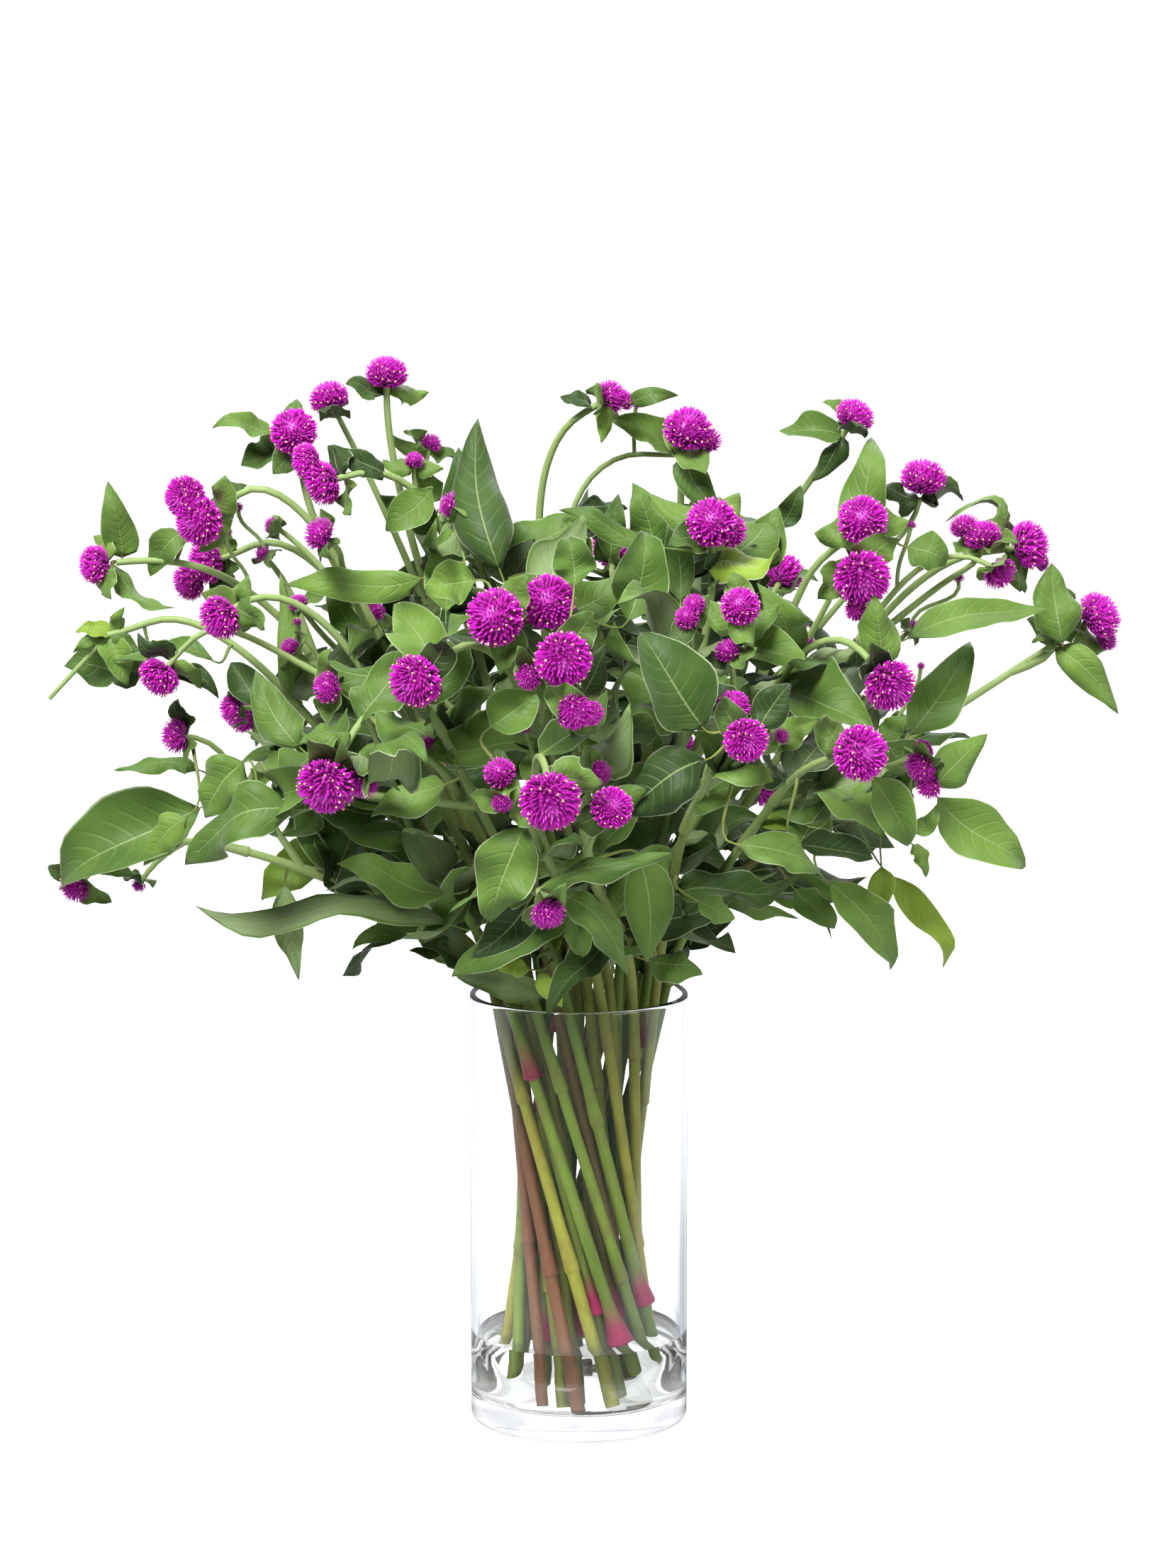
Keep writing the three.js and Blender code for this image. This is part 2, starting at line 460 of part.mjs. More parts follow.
// The feet of the sheaf, in rings, swapped until the stems lean towards their own blooms
function standStems() {
  const feet = sheaf.ringRadii.flatMap((r, ring) => {
    const n = sheaf.ringCounts[ring];
    return [...Array(n).keys()].map((i) => {
      const a = (2 * Math.PI * (i + 0.5 * ring)) / n;
      return point(r * Math.cos(a), r * Math.sin(a), sheaf.bottom);
    });
  });
  const aims = stems.map(({ tips }) => {
    const [x, z] = tips[0].past[0];
    return seen(x, z, depthOf(...tips[0].at));
  });
  const cost = (foot, aim) => {
    const p = sheafPoint(foot, sheaf.leanAt);
    return (p.x - aim.x) ** 2 + (p.y - aim.y) ** 2;
  };
  for (let swapped = true; swapped; ) {
    swapped = false;
    for (let i = 0; i < feet.length; i++)
      for (let j = i + 1; j < feet.length; j++) {
        const kept = cost(feet[i], aims[i]) + cost(feet[j], aims[j]);
        const turned = cost(feet[j], aims[i]) + cost(feet[i], aims[j]);
        if (turned < kept - 1e-6) {
          [feet[i], feet[j]] = [feet[j], feet[i]];
          swapped = true;
        }
      }
  }
  return feet;
}

// The line of a stalk from its start, past its bends, to the underside of its bloom
function stalkLine(start, tip, shift, rise) {
  const centre = seen(tip.at[0], tip.at[1], depthOf(...tip.at) + shift);
  const way = pointing(tip.aim, tip.turn);
  const own = tip.d >= bloomShape.ownNode;
  const reach = (tip.d / 2) * (own ? bloomShape.seat : bloomShape.sunk) + (own ? 2 * gap : 0);
  const end = centre.clone().addScaledVector(way, -reach);
  const past = tip.past ?? [];
  const from = start[start.length - 1];
  const bends = past.map(([x, z], k) => {
    const share = (k + 1) / (past.length + 1);
    return seen(x, z + rise, from.y + (centre.y - from.y) * share);
  });
  const neckLong = Math.min(bloomShape.neck, end.distanceTo(from) * bloomShape.neckShare);
  const neck = end.clone().addScaledVector(way, -neckLong);
  return { line: thinned(rounded([...start, ...bends, neck, end], 1), leastBend), centre, way, end, own };
}

const placed = [];
const owners = new Map();

// True where a solid keeps the gap to every solid of another owner
function isClear(made, owner) {
  const box = made.boundingBox();
  return placed.every(({ body, owner: other, box: b }) => {
    if (other === owner) return true;
    const apart = [0, 1, 2].some((k) => box.min[k] - gap > b.max[k] || box.max[k] + gap < b.min[k]);
    return apart || body.minGap(made, gap) >= leastGap;
  });
}

// How many of its own stem's pieces a leaf meets away from its foot
function crossed(made, owner, foot) {
  const box = made.boundingBox();
  return placed.filter(({ body, owner: other, box: b }) => {
    if (other !== owner) return false;
    if ([0, 1, 2].some((k) => box.min[k] > b.max[k] || box.max[k] < b.min[k])) return false;
    const common = made.intersect(body);
    if (common.isEmpty()) return false;
    const shared = common.boundingBox();
    return [0, 1, 2].some((k) => {
      const f = foot.getComponent(k);
      return shared.max[k] - f > leafShape.root || f - shared.min[k] > leafShape.root;
    });
  }).length;
}

function place(made, owner) {
  placed.push({ body: made, owner, box: made.boundingBox() });
  if (!owners.has(owner)) owners.set(owner, []);
  owners.get(owner).push(made);
}

const stemName = (i) => `stem_${String(i + 1).padStart(2, "0")}`;
const bloomName = (i) => `bloom_${String(i).padStart(2, "0")}`;
let bloomCount = 0;

// One bloom with the smaller heads beside it
function bloomBodies(tip, centre, way) {
  const heads = [[0, 0, tip.d], ...(tip.with ?? [])];
  return heads.map(([dx, dz, d], n) => {
    const at = centre.clone().add(point(dx, n ? bloomShape.behind : 0, dz));
    return bloomSolid(at, d, way, d >= bloomShape.ownNode && n === 0 ? 1 : 0);
  });
}

// Grows one tip of a stem: the first depth and rise at which its stalk and bloom are clear is taken
function growTip(stemIndex, tip, start, radii) {
  const owner = stemName(stemIndex);
  for (const rise of stalkTries.rise)
    for (const shift of stalkTries.depth) {
      const grown = stalkLine(start, tip, shift, rise);
      const line = radii.foot ? [radii.foot, ...grown.line] : grown.line;
      const wide = line.map((_, k) => {
        if (radii.foot && k < 2) return k ? stemRadius.rim : stemRadius.foot;
        return radii.from + ((radii.to - radii.from) * k) / (line.length - 1);
      });
      const stalk = stalkSolid(line, wide, radii.foot ? sides.main : sides.side);
      const heads = tip.d ? bloomBodies(tip, grown.centre, grown.way) : [];
      const bloomOwner = grown.own ? bloomName(bloomCount + 1) : owner;
      if (!isClear(stalk, owner) || !heads.every((h) => isClear(h, bloomOwner))) continue;
      if (grown.own && heads.some((h) => h.minGap(stalk, gap) < seatGap)) continue;
      if (grown.own) bloomCount += 1;
      place(stalk, owner);
      heads.forEach((h) => place(h, bloomOwner));
      return { ...grown, line, owner, tip };
    }
  return null;
}

// Grows a whole stem: its main stalk from the foot to the first tip, then the side stalks
function growStem(stem, foot, index) {
  const rim = sheafPoint(foot, vase.height);
  const lead = sheafPoint(foot, vase.height + sheaf.lead);
  const main = growTip(index, stem.tips[0], [rim, lead], { foot, from: stemRadius.rim, to: stemRadius.tip });
  const upper = main.line.slice(1);
  const thin = { from: stemRadius.rim * stemRadius.sideShare, to: stemRadius.tip * stemRadius.sideShare };
  const shoots = stem.tips.slice(1).map((tip) => {
    const fork = along(upper, tip.fork);
    return growTip(index, tip, [fork.at], thin);
  });
  if (stem.bareEnd) {
    const end = seen(...stem.bareEnd, main.end.y);
    place(stalkSolid([main.end, end], stemRadius.bare, sides.side), main.owner);
  }
  return [main, ...shoots.filter(Boolean)];
}

// A short leaf is cut into fewer stretches
const stations = (foot, tip) =>
  foot.distanceTo(tip) < leafShape.short ? leafShape.shortStations : leafShape.longStations;

function leafAt(foot, tip, up, wide, bow, seed, shares) {
  return {
    foot, tip, up, wide, bow, shares,
    fold: leafShape.fold,
    wave: leafShape.wave,
    twist: (draw(seed) - 0.5) * leafShape.twist,
    phase: draw(seed + 0.3) * 2 * Math.PI,
  };
}

// A leaf that shows: it grows from the nearest stalk, on a twig of its own where the stalk isn't close
function growShownLeaf(leaf, stalks, n) {
  const face = radians(leaf.face);
  const up = point(0, -Math.cos(face), Math.sin(face));
  for (const shift of shownTries) {
    const foot = seen(...leaf.foot, depthOf(...leaf.foot, leaf.layer) + shift);
    const tip = seen(...leaf.tip, depthOf(...leaf.tip, leaf.layer) + shift);
    const near = nearest(stalks, foot, tip);
    const grown = leafAt(foot, tip, up, leaf.wide, leaf.bow ?? 0, n, stations(foot, tip));
    const blade = leafSolid({ ...grown, root: near.at });
    if (!isClear(blade, near.owner)) continue;
    place(blade, near.owner);
    return true;
  }
  return false;
}

// The point of the stalks that a leaf grows from: close to its foot, and not on the side of its tip
function nearest(stalks, foot, tip) {
  const axis = tip.clone().sub(foot).normalize();
  let best = { cost: Infinity };
  for (const { line, owner } of stalks)
    for (let i = 0; i < line.length - 1; i++)
      for (let k = 0; k < rootSteps; k++) {
        const at = line[i].clone().lerp(line[i + 1], (k + 0.5) / rootSteps);
        const way = foot.clone().sub(at);
        const far = way.length();
        const cost = far * (2 - way.dot(axis) / far);
        if (at.z > vase.height + leafShape.bare && cost < best.cost) best = { cost, far, at, owner };
      }
  return best;
}

// A leaf that stands off a stalk at an angle round it, risen towards the stalk's tip
function growSideLeaf(owner, at, way, turn, size, seed) {
  const first = point(0, 0, 1).cross(way);
  const base = first.lengthSq() < 1e-4 ? point(1, 0, 0) : first.normalize();
  for (let k = 0; k < size.tries; k++) {
    const swing = turn + radians(size.step * Math.ceil(k / 2)) * (k % 2 ? 1 : -1);
    const long = size.long * (k < size.tries / 2 ? 1 : shorter);
    const out = base.clone().applyAxisAngle(way, swing).addScaledVector(way, size.rise).normalize();
    const tip = at.clone().addScaledVector(out, long);
    const leaf = leafAt(at, tip, way, long * size.wideShare, size.bow, seed, size.shares);
    const blade = leafSolid(leaf);
    if (isClear(blade, owner) && crossed(blade, owner, at) === 0) {
      place(blade, owner);
      return true;
    }
  }
  return false;
}

function growPairs(tip, seed, count) {
  const upper = tip.line.slice(1);
  return pairs.at.slice(0, count).flatMap((share, n) =>
    [0, Math.PI].map((side, m) => {
      const { at, way } = along(upper, share);
      const turn = side + (n * Math.PI) / 2 + draw(seed + n) * pairs.swing;
      const long = pairs.long[n] * (1 + pairs.vary * (draw(seed + n + m * 0.5) - 0.5));
      const size = { ...pairs, long, bow: pairs.bow[0] + pairs.bow[1] * draw(seed + n + m + 0.2) };
      return growSideLeaf(tip.owner, at, way, turn, size, seed + n * 7 + m);
    }),
  );
}

function growCollar(tip, seed) {
  const { line, way, owner } = tip;
  const at = line[line.length - 1].clone().addScaledVector(way, -collar.below);
  const long = collar.long + collar.perBloom * tip.tip.d;
  return [0, Math.PI].map((side, m) =>
    growSideLeaf(owner, at, way, side + draw(seed) * collar.swing, { ...collar, long }, seed + m),
  );
}

function asMesh(name, body, look) {
  const { numProp, vertProperties, triVerts } = body.getMesh();
  const flat = new Float32Array((vertProperties.length / numProp) * 3);
  for (let i = 0; i < flat.length / 3; i++)
    flat.set(vertProperties.subarray(i * numProp, i * numProp + 3), i * 3);
  const geometry = new THREE.BufferGeometry()
    .setAttribute("position", new THREE.BufferAttribute(flat, 3))
    .setIndex(new THREE.BufferAttribute(triVerts, 1));
  geometry.computeVertexNormals();
  const mesh = new THREE.Mesh(geometry, look);
  mesh.name = name;
  return mesh;
}

const looks = {
  stem: new THREE.MeshStandardMaterial({ color: 0x5f8a3c, roughness: 0.7, metalness: 0 }),
  bloom: new THREE.MeshStandardMaterial({ color: 0xb01868, roughness: 0.75, metalness: 0 }),
  vase: new THREE.MeshStandardMaterial({
    color: 0xf4f8f6, roughness: 0.03, metalness: 0, transparent: true, opacity: 0.25,
  }),
  water: new THREE.MeshStandardMaterial({
    color: 0xe6f0ea, roughness: 0.02, metalness: 0, transparent: true, opacity: 0.3,
  }),
};

place(vaseSolid(), "vase");
const feet = standStems();
const tips = stems.flatMap((stem, i) => growStem(stem, feet[i], i));
shownLeaves.forEach((leaf, n) => growShownLeaf(leaf, tips, n));
tips.forEach((tip, n) => {
  if (tip.own) growCollar(tip, n * 3);
});
stems.forEach((stem, n) => {
  const main = tips.find((tip) => tip.tip === stem.tips[0]);
  const count = stem.behind ? pairs.behind : pairs.front;
  growPairs(main, n * 31, count);
});

const holes = feet.map((foot) => {
  const ends = [sheafPoint(foot, sheaf.bottom - hole.past), sheafPoint(foot, water.top + hole.past)];
  const wide = stemRadius.foot + hole.wider;
  return stalkSolid(ends, [wide, wide], sides.main);
});
const filling = wasm.Manifold.difference([waterSolid(), ...holes]);

const arrangement = new THREE.Group();
for (const [name, bodies] of owners) {
  const look = looks[name.split("_")[0]];
  const joined = wasm.Manifold.union(bodies).decompose();
  const largest = joined.reduce((a, b) => (a.volume() > b.volume() ? a : b));
  arrangement.add(asMesh(name, largest, look));
}
arrangement.add(asMesh("water", filling, looks.water));

export default arrangement;
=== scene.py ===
import math

import bmesh
import bpy
import numpy as np
from mathutils import Matrix, Quaternion, Vector


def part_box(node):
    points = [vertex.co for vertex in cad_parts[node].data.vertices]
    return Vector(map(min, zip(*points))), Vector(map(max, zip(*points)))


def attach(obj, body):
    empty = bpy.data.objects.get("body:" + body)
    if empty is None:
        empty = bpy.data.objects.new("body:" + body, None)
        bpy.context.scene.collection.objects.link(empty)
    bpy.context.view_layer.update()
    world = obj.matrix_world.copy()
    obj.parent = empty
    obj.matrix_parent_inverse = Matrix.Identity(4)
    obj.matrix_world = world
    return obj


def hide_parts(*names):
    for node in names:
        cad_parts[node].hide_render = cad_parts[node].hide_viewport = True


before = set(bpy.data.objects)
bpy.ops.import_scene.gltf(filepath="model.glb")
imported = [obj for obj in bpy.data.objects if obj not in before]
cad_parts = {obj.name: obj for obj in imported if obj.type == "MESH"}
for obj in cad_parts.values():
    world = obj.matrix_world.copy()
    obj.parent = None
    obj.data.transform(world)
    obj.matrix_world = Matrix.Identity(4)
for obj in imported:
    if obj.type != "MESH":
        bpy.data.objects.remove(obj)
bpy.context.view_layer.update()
mm = 0.001
print("frame loaded")

# Lengths below are in millimetres. Finished pieces are scaled to metres.
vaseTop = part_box("vase")[1].z / mm
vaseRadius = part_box("vase")[1].x / mm
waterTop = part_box("water")[1].z / mm

# The camera stands where the photograph was taken from
eye = Vector((4, -1923, 585))
cameraSettings = {"at": (0.0042, -1.923, 0.585), "down": 8.55, "lens": 98.2, "sensor": 36}

# To the viewer and a little up, as the upper sides of many near leaves face
upToViewer = Vector((0, -1, 0.3))

# The layout of the arrangement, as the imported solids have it.
# Places are x and z as seen against the plane through the vase's axis, then a layer: 1 is the near
# side of a dome over the rim and -1 its far side.
sheaf = {"twist": 97, "lead": 28, "depthTries": (0, 7, -7, 14, -14, 22, -22, 32, -32, 44, -44),
         "riseTries": (0, 8, -8, 16, -16), "leastBend": 2}
stemRadius = {"foot": 2.4, "rim": 2.1, "tip": 1.5, "sideShare": 0.8}
dome = {"centre": 262, "across": 258, "deep": 175, "high": 232, "least": 0.04}
gap = 0.3
headSeat = {"ownNode": 19, "seat": 0.648, "sunk": 0.3, "neck": 12, "neckShare": 0.4, "behind": 3}
headShape = {"squash": 0.86, "under": 0.72, "valley": 0.9}
leafShape = {"swell": 0.75, "power": 0.9, "shownLoose": 0.7, "stalked": 8, "bare": 8, "rootSteps": 5,
             "tries": (0, 9, -9, 18, -18, 27, -27, 36), "tones": 0.84}
pairs = {"at": (0.26, 0.45, 0.62), "long": (62, 58, 50), "front": 1, "behind": 3, "vary": 0.3, "swing": 2,
         "bow": (0.06, -0.2), "wideShare": 0.36, "rise": 0.45, "tries": 12, "step": 30, "shorter": 0.72}
collar = {"long": 9, "perBloom": 0.55, "wideShare": 0.62, "rise": 0.25, "tries": 6, "step": 30,
          "below": 2.5, "bow": -0.08, "swing": 3, "shorter": 0.72, "toViewer": 0.9,
          "leastToViewer": 0.4, "broad": 1.25}

# Every stem lists its tips: the middle of its head, the head's diameter, the way it points in the picture
# (0 right, 90 up) and turns to the viewer, the points its stalk bends past, the share of the main stalk
# where a side stalk forks, and smaller heads beside it.
stems = [
    {"tips": [
        dict(at=(-86, 482, 0.1), d=19, aim=88, turn=8, past=[(-72, 392), (-83, 440)]),
        dict(at=(-112, 471, 0.1), d=18, aim=115, turn=10, past=[(-92, 432)], fork=0.55),
        dict(at=(-66, 451, -0.2), d=10, aim=60, turn=0, fork=0.6)]},
    {"tips": [
        dict(at=(-128, 456, 0.4), d=21, aim=100, turn=60, past=[(-98, 372), (-124, 424)]),
        dict(at=(-117, 410, 0.6), d=15, aim=150, turn=20, past=[(-110, 396)], fork=0.5)]},
    {"tips": [
        dict(at=(-115, 433, 0.3), d=20, aim=195, turn=10,
             past=[(-52, 380), (-66, 428), (-92, 441)], beside=[(-7, 9, 17)]),
        dict(at=(-74, 443, 0.1), d=9, aim=80, turn=20, fork=0.6)]},
    {"tips": [
        dict(at=(-171, 416, 0.5), d=23, aim=200, turn=50,
             past=[(-104, 386), (-128, 418), (-150, 428)], beside=[(-6, 10, 20)]),
        dict(at=(-138, 414, -0.1), d=9, aim=150, turn=0, fork=0.6)]},
    {"tips": [
        dict(at=(-218, 396, 0.1), d=18, aim=185, turn=15, past=[(-120, 360), (-160, 394), (-190, 399)]),
        dict(at=(-143, 401, 0), d=8, aim=140, turn=10, fork=0.6)]},
    {"tips": [
        dict(at=(-168, 397, 0.1), d=20, aim=190, turn=20,
             past=[(-100, 376), (-122, 402), (-145, 411)], beside=[(-8, -9, 18)]),
        dict(at=(-127, 379, 0.2), d=9, aim=120, turn=10, fork=0.5)]},
    {"tips": [
        dict(at=(-162, 372, 0.6), d=20, aim=215, turn=30, past=[(-96, 350), (-124, 380), (-146, 384)]),
        dict(at=(-190, 345, 0.5), d=19, aim=230, turn=15, past=[(-162, 372), (-174, 366)], fork=0.6),
        dict(at=(-131, 358, 0.3), d=10, aim=150, turn=10, fork=0.5)]},
    {"bareEnd": (-240, 335), "tips": [
        dict(at=(-213, 364, 0.2), d=0, aim=185, turn=10, past=[(-130, 338), (-165, 368), (-190, 375)]),
        dict(at=(-157, 330, 0.5), d=14, aim=200, turn=20, fork=0.4),
        dict(at=(-114, 340, 0.8), d=14, aim=180, turn=30, fork=0.3)]},
    {"tips": [
        dict(at=(-230, 248, 0.1), d=15, aim=230, turn=25, past=[(-110, 252), (-180, 274), (-212, 262)]),
        dict(at=(-183, 318, 0.3), d=16, aim=185, turn=0, past=[(-160, 308)], fork=0.5),
        dict(at=(-201, 249, -0.1), d=8, aim=240, turn=0, fork=0.75)]},
    {"tips": [
        dict(at=(-115, 295, 0.9), d=25, aim=245, turn=45, past=[(-48, 290), (-72, 342), (-94, 334)]),
        dict(at=(-146, 287, 0.6), d=13, aim=195, turn=10, past=[(-128, 295)], fork=0.45)]},
    {"tips": [
        dict(at=(-99, 296, 0.8), d=15, aim=250, turn=10, past=[(-46, 272), (-62, 308), (-86, 313)]),
        dict(at=(-68, 313, 0.5), d=10, aim=200, turn=30, fork=0.5)]},
    {"tips": [
        dict(at=(-74, 343, 0.95), d=23, aim=215, turn=50, past=[(-8, 300), (-30, 350), (-50, 364)])]},
    {"tips": [
        dict(at=(-55, 423, 0.4), d=16, aim=105, turn=0, past=[(-36, 372), (-46, 402)]),
        dict(at=(-92, 375, 0.1), d=10, aim=60, turn=10, fork=0.4)]},
    {"tips": [
        dict(at=(15, 472, 0), d=16, aim=35, turn=0,
             past=[(-19, 396), (-17, 440), (-4, 464)], beside=[(6, -2, 10)])]},
    {"tips": [
        dict(at=(49, 457, 0.3), d=22, aim=80, turn=30, past=[(46, 385), (46, 425)], beside=[(9, -5, 13)]),
        dict(at=(50, 446, -0.2), d=12, aim=10, turn=0,
             past=[(-8, 396), (-2, 432), (22, 450)], fork=0.05)]},
    {"tips": [
        dict(at=(60, 415, 0.5), d=22, aim=90, turn=65, past=[(62, 380)], beside=[(8, -4, 15)]),
        dict(at=(73, 377, 0.8), d=17, aim=90, turn=55, past=[(80, 352)], fork=0.4),
        dict(at=(49, 372, 0.85), d=11, aim=110, turn=45, fork=0.5, beside=[(3, 5, 10)])]},
    {"tips": [
        dict(at=(-38, 372, 0.8), d=25, aim=150, turn=60, past=[(-26, 330)]),
        dict(at=(-23, 345, 0.9), d=12, aim=220, turn=40, fork=0.55)]},
    {"tips": [
        dict(at=(-14, 379, 0.65), d=24, aim=100, turn=70, past=[(-4, 340)]),
        dict(at=(-7, 353, 0.95), d=24, aim=-80, turn=70, fork=0.5),
        dict(at=(-2, 329, 1), d=16, aim=-60, turn=60, fork=0.4, beside=[(7, -1, 11)])]},
    {"tips": [
        dict(at=(-13, 288, 1), d=26, aim=-85, turn=60, past=[(-20, 270), (-20, 316)]),
        dict(at=(-36, 301, 0.9), d=14, aim=120, turn=40, fork=0.4),
        dict(at=(-35, 287, 0.95), d=9, aim=-100, turn=40, fork=0.4)]},
    {"tips": [
        dict(at=(15, 285, 0.9), d=18, aim=60, turn=60, past=[(0, 262)]),
        dict(at=(10, 301, 0.75), d=11, aim=20, turn=20, fork=0.6),
        dict(at=(-14, 236, 1), d=15, aim=-70, turn=35, past=[(-24, 244)], fork=0.3)]},
    {"tips": [
        dict(at=(124, 463, 0), d=18, aim=60, turn=5, past=[(84, 405), (106, 437)]),
        dict(at=(155, 435, -0.15), d=21, aim=85, turn=5, past=[(118, 380), (148, 412)], fork=0.3)]},
    {"tips": [
        dict(at=(128, 416, 0.5), d=22, aim=90, turn=65, past=[(96, 372), (106, 400)]),
        dict(at=(128, 390, 0.7), d=25, aim=-70, turn=60,
             past=[(104, 360)], fork=0.45, beside=[(-2, -14, 11)])]},
    {"tips": [
        dict(at=(203, 405, 0), d=22, aim=15, turn=5,
             past=[(120, 352), (152, 390), (182, 405)], beside=[(6, -8, 9)]),
        dict(at=(182, 409, 0.1), d=17, aim=100, turn=0,
             past=[(176, 398)], fork=0.65, beside=[(-8, 4, 14)]),
        dict(at=(190, 392, 0.2), d=16, aim=-45, turn=10, past=[(150, 399)], fork=0.5)]},
    {"tips": [
        dict(at=(235, 373, 0), d=22, aim=35, turn=10,
             past=[(120, 298), (170, 330)], beside=[(4, -11, 12)]),
        dict(at=(217, 367, 0.1), d=9, aim=110, turn=10, fork=0.85),
        dict(at=(152, 368, -0.1), d=8, aim=30, turn=0, fork=0.45)]},
    {"tips": [
        dict(at=(141, 341, 0.8), d=23, aim=-50, turn=45, past=[(78, 318), (98, 358), (122, 366)]),
        dict(at=(67, 357, 0.75), d=11, aim=120, turn=30, fork=0.4)]},
    {"tips": [
        dict(at=(76, 316, 1), d=19, aim=-60, turn=65, past=[(50, 290), (72, 306)]),
        dict(at=(70, 331, 0.9), d=15, aim=100, turn=55, fork=0.5),
        dict(at=(92, 318, 0.85), d=8, aim=40, turn=30, fork=0.6)]},
    {"tips": [
        dict(at=(128, 310, 0.85), d=24, aim=20, turn=60, past=[(84, 282), (100, 303)]),
        dict(at=(155, 304, 0.6), d=15, aim=215, turn=20,
             past=[(140, 304)], fork=0.6, beside=[(2, 7, 10), (4, -9, 13)])]},
    {"behind": True, "tips": [
        dict(at=(-104, 380, -0.75), d=22, aim=130, turn=-50, past=[(-52, 310), (-84, 362)]),
        dict(at=(-152, 328, -0.6), d=18, aim=170, turn=-30, past=[(-118, 330)], fork=0.4),
        dict(at=(-66, 305, -0.9), d=16, aim=200, turn=-50, past=[(-56, 318)], fork=0.3)]},
    {"behind": True, "tips": [
        dict(at=(16, 404, -0.7), d=23, aim=90, turn=-45, past=[(5, 320), (10, 385)]),
        dict(at=(-26, 340, -0.85), d=20, aim=100, turn=-60, past=[(-16, 345)], fork=0.4),
        dict(at=(48, 312, -0.9), d=15, aim=60, turn=-60, past=[(36, 325)], fork=0.3)]},
    {"behind": True, "tips": [
        dict(at=(92, 392, -0.65), d=21, aim=70, turn=-40, past=[(45, 310), (78, 375)]),
        dict(at=(140, 340, -0.6), d=18, aim=30, turn=-30, past=[(108, 338)], fork=0.4),
        dict(at=(84, 292, -0.85), d=14, aim=-20, turn=-50, past=[(66, 304)], fork=0.25)]},
]

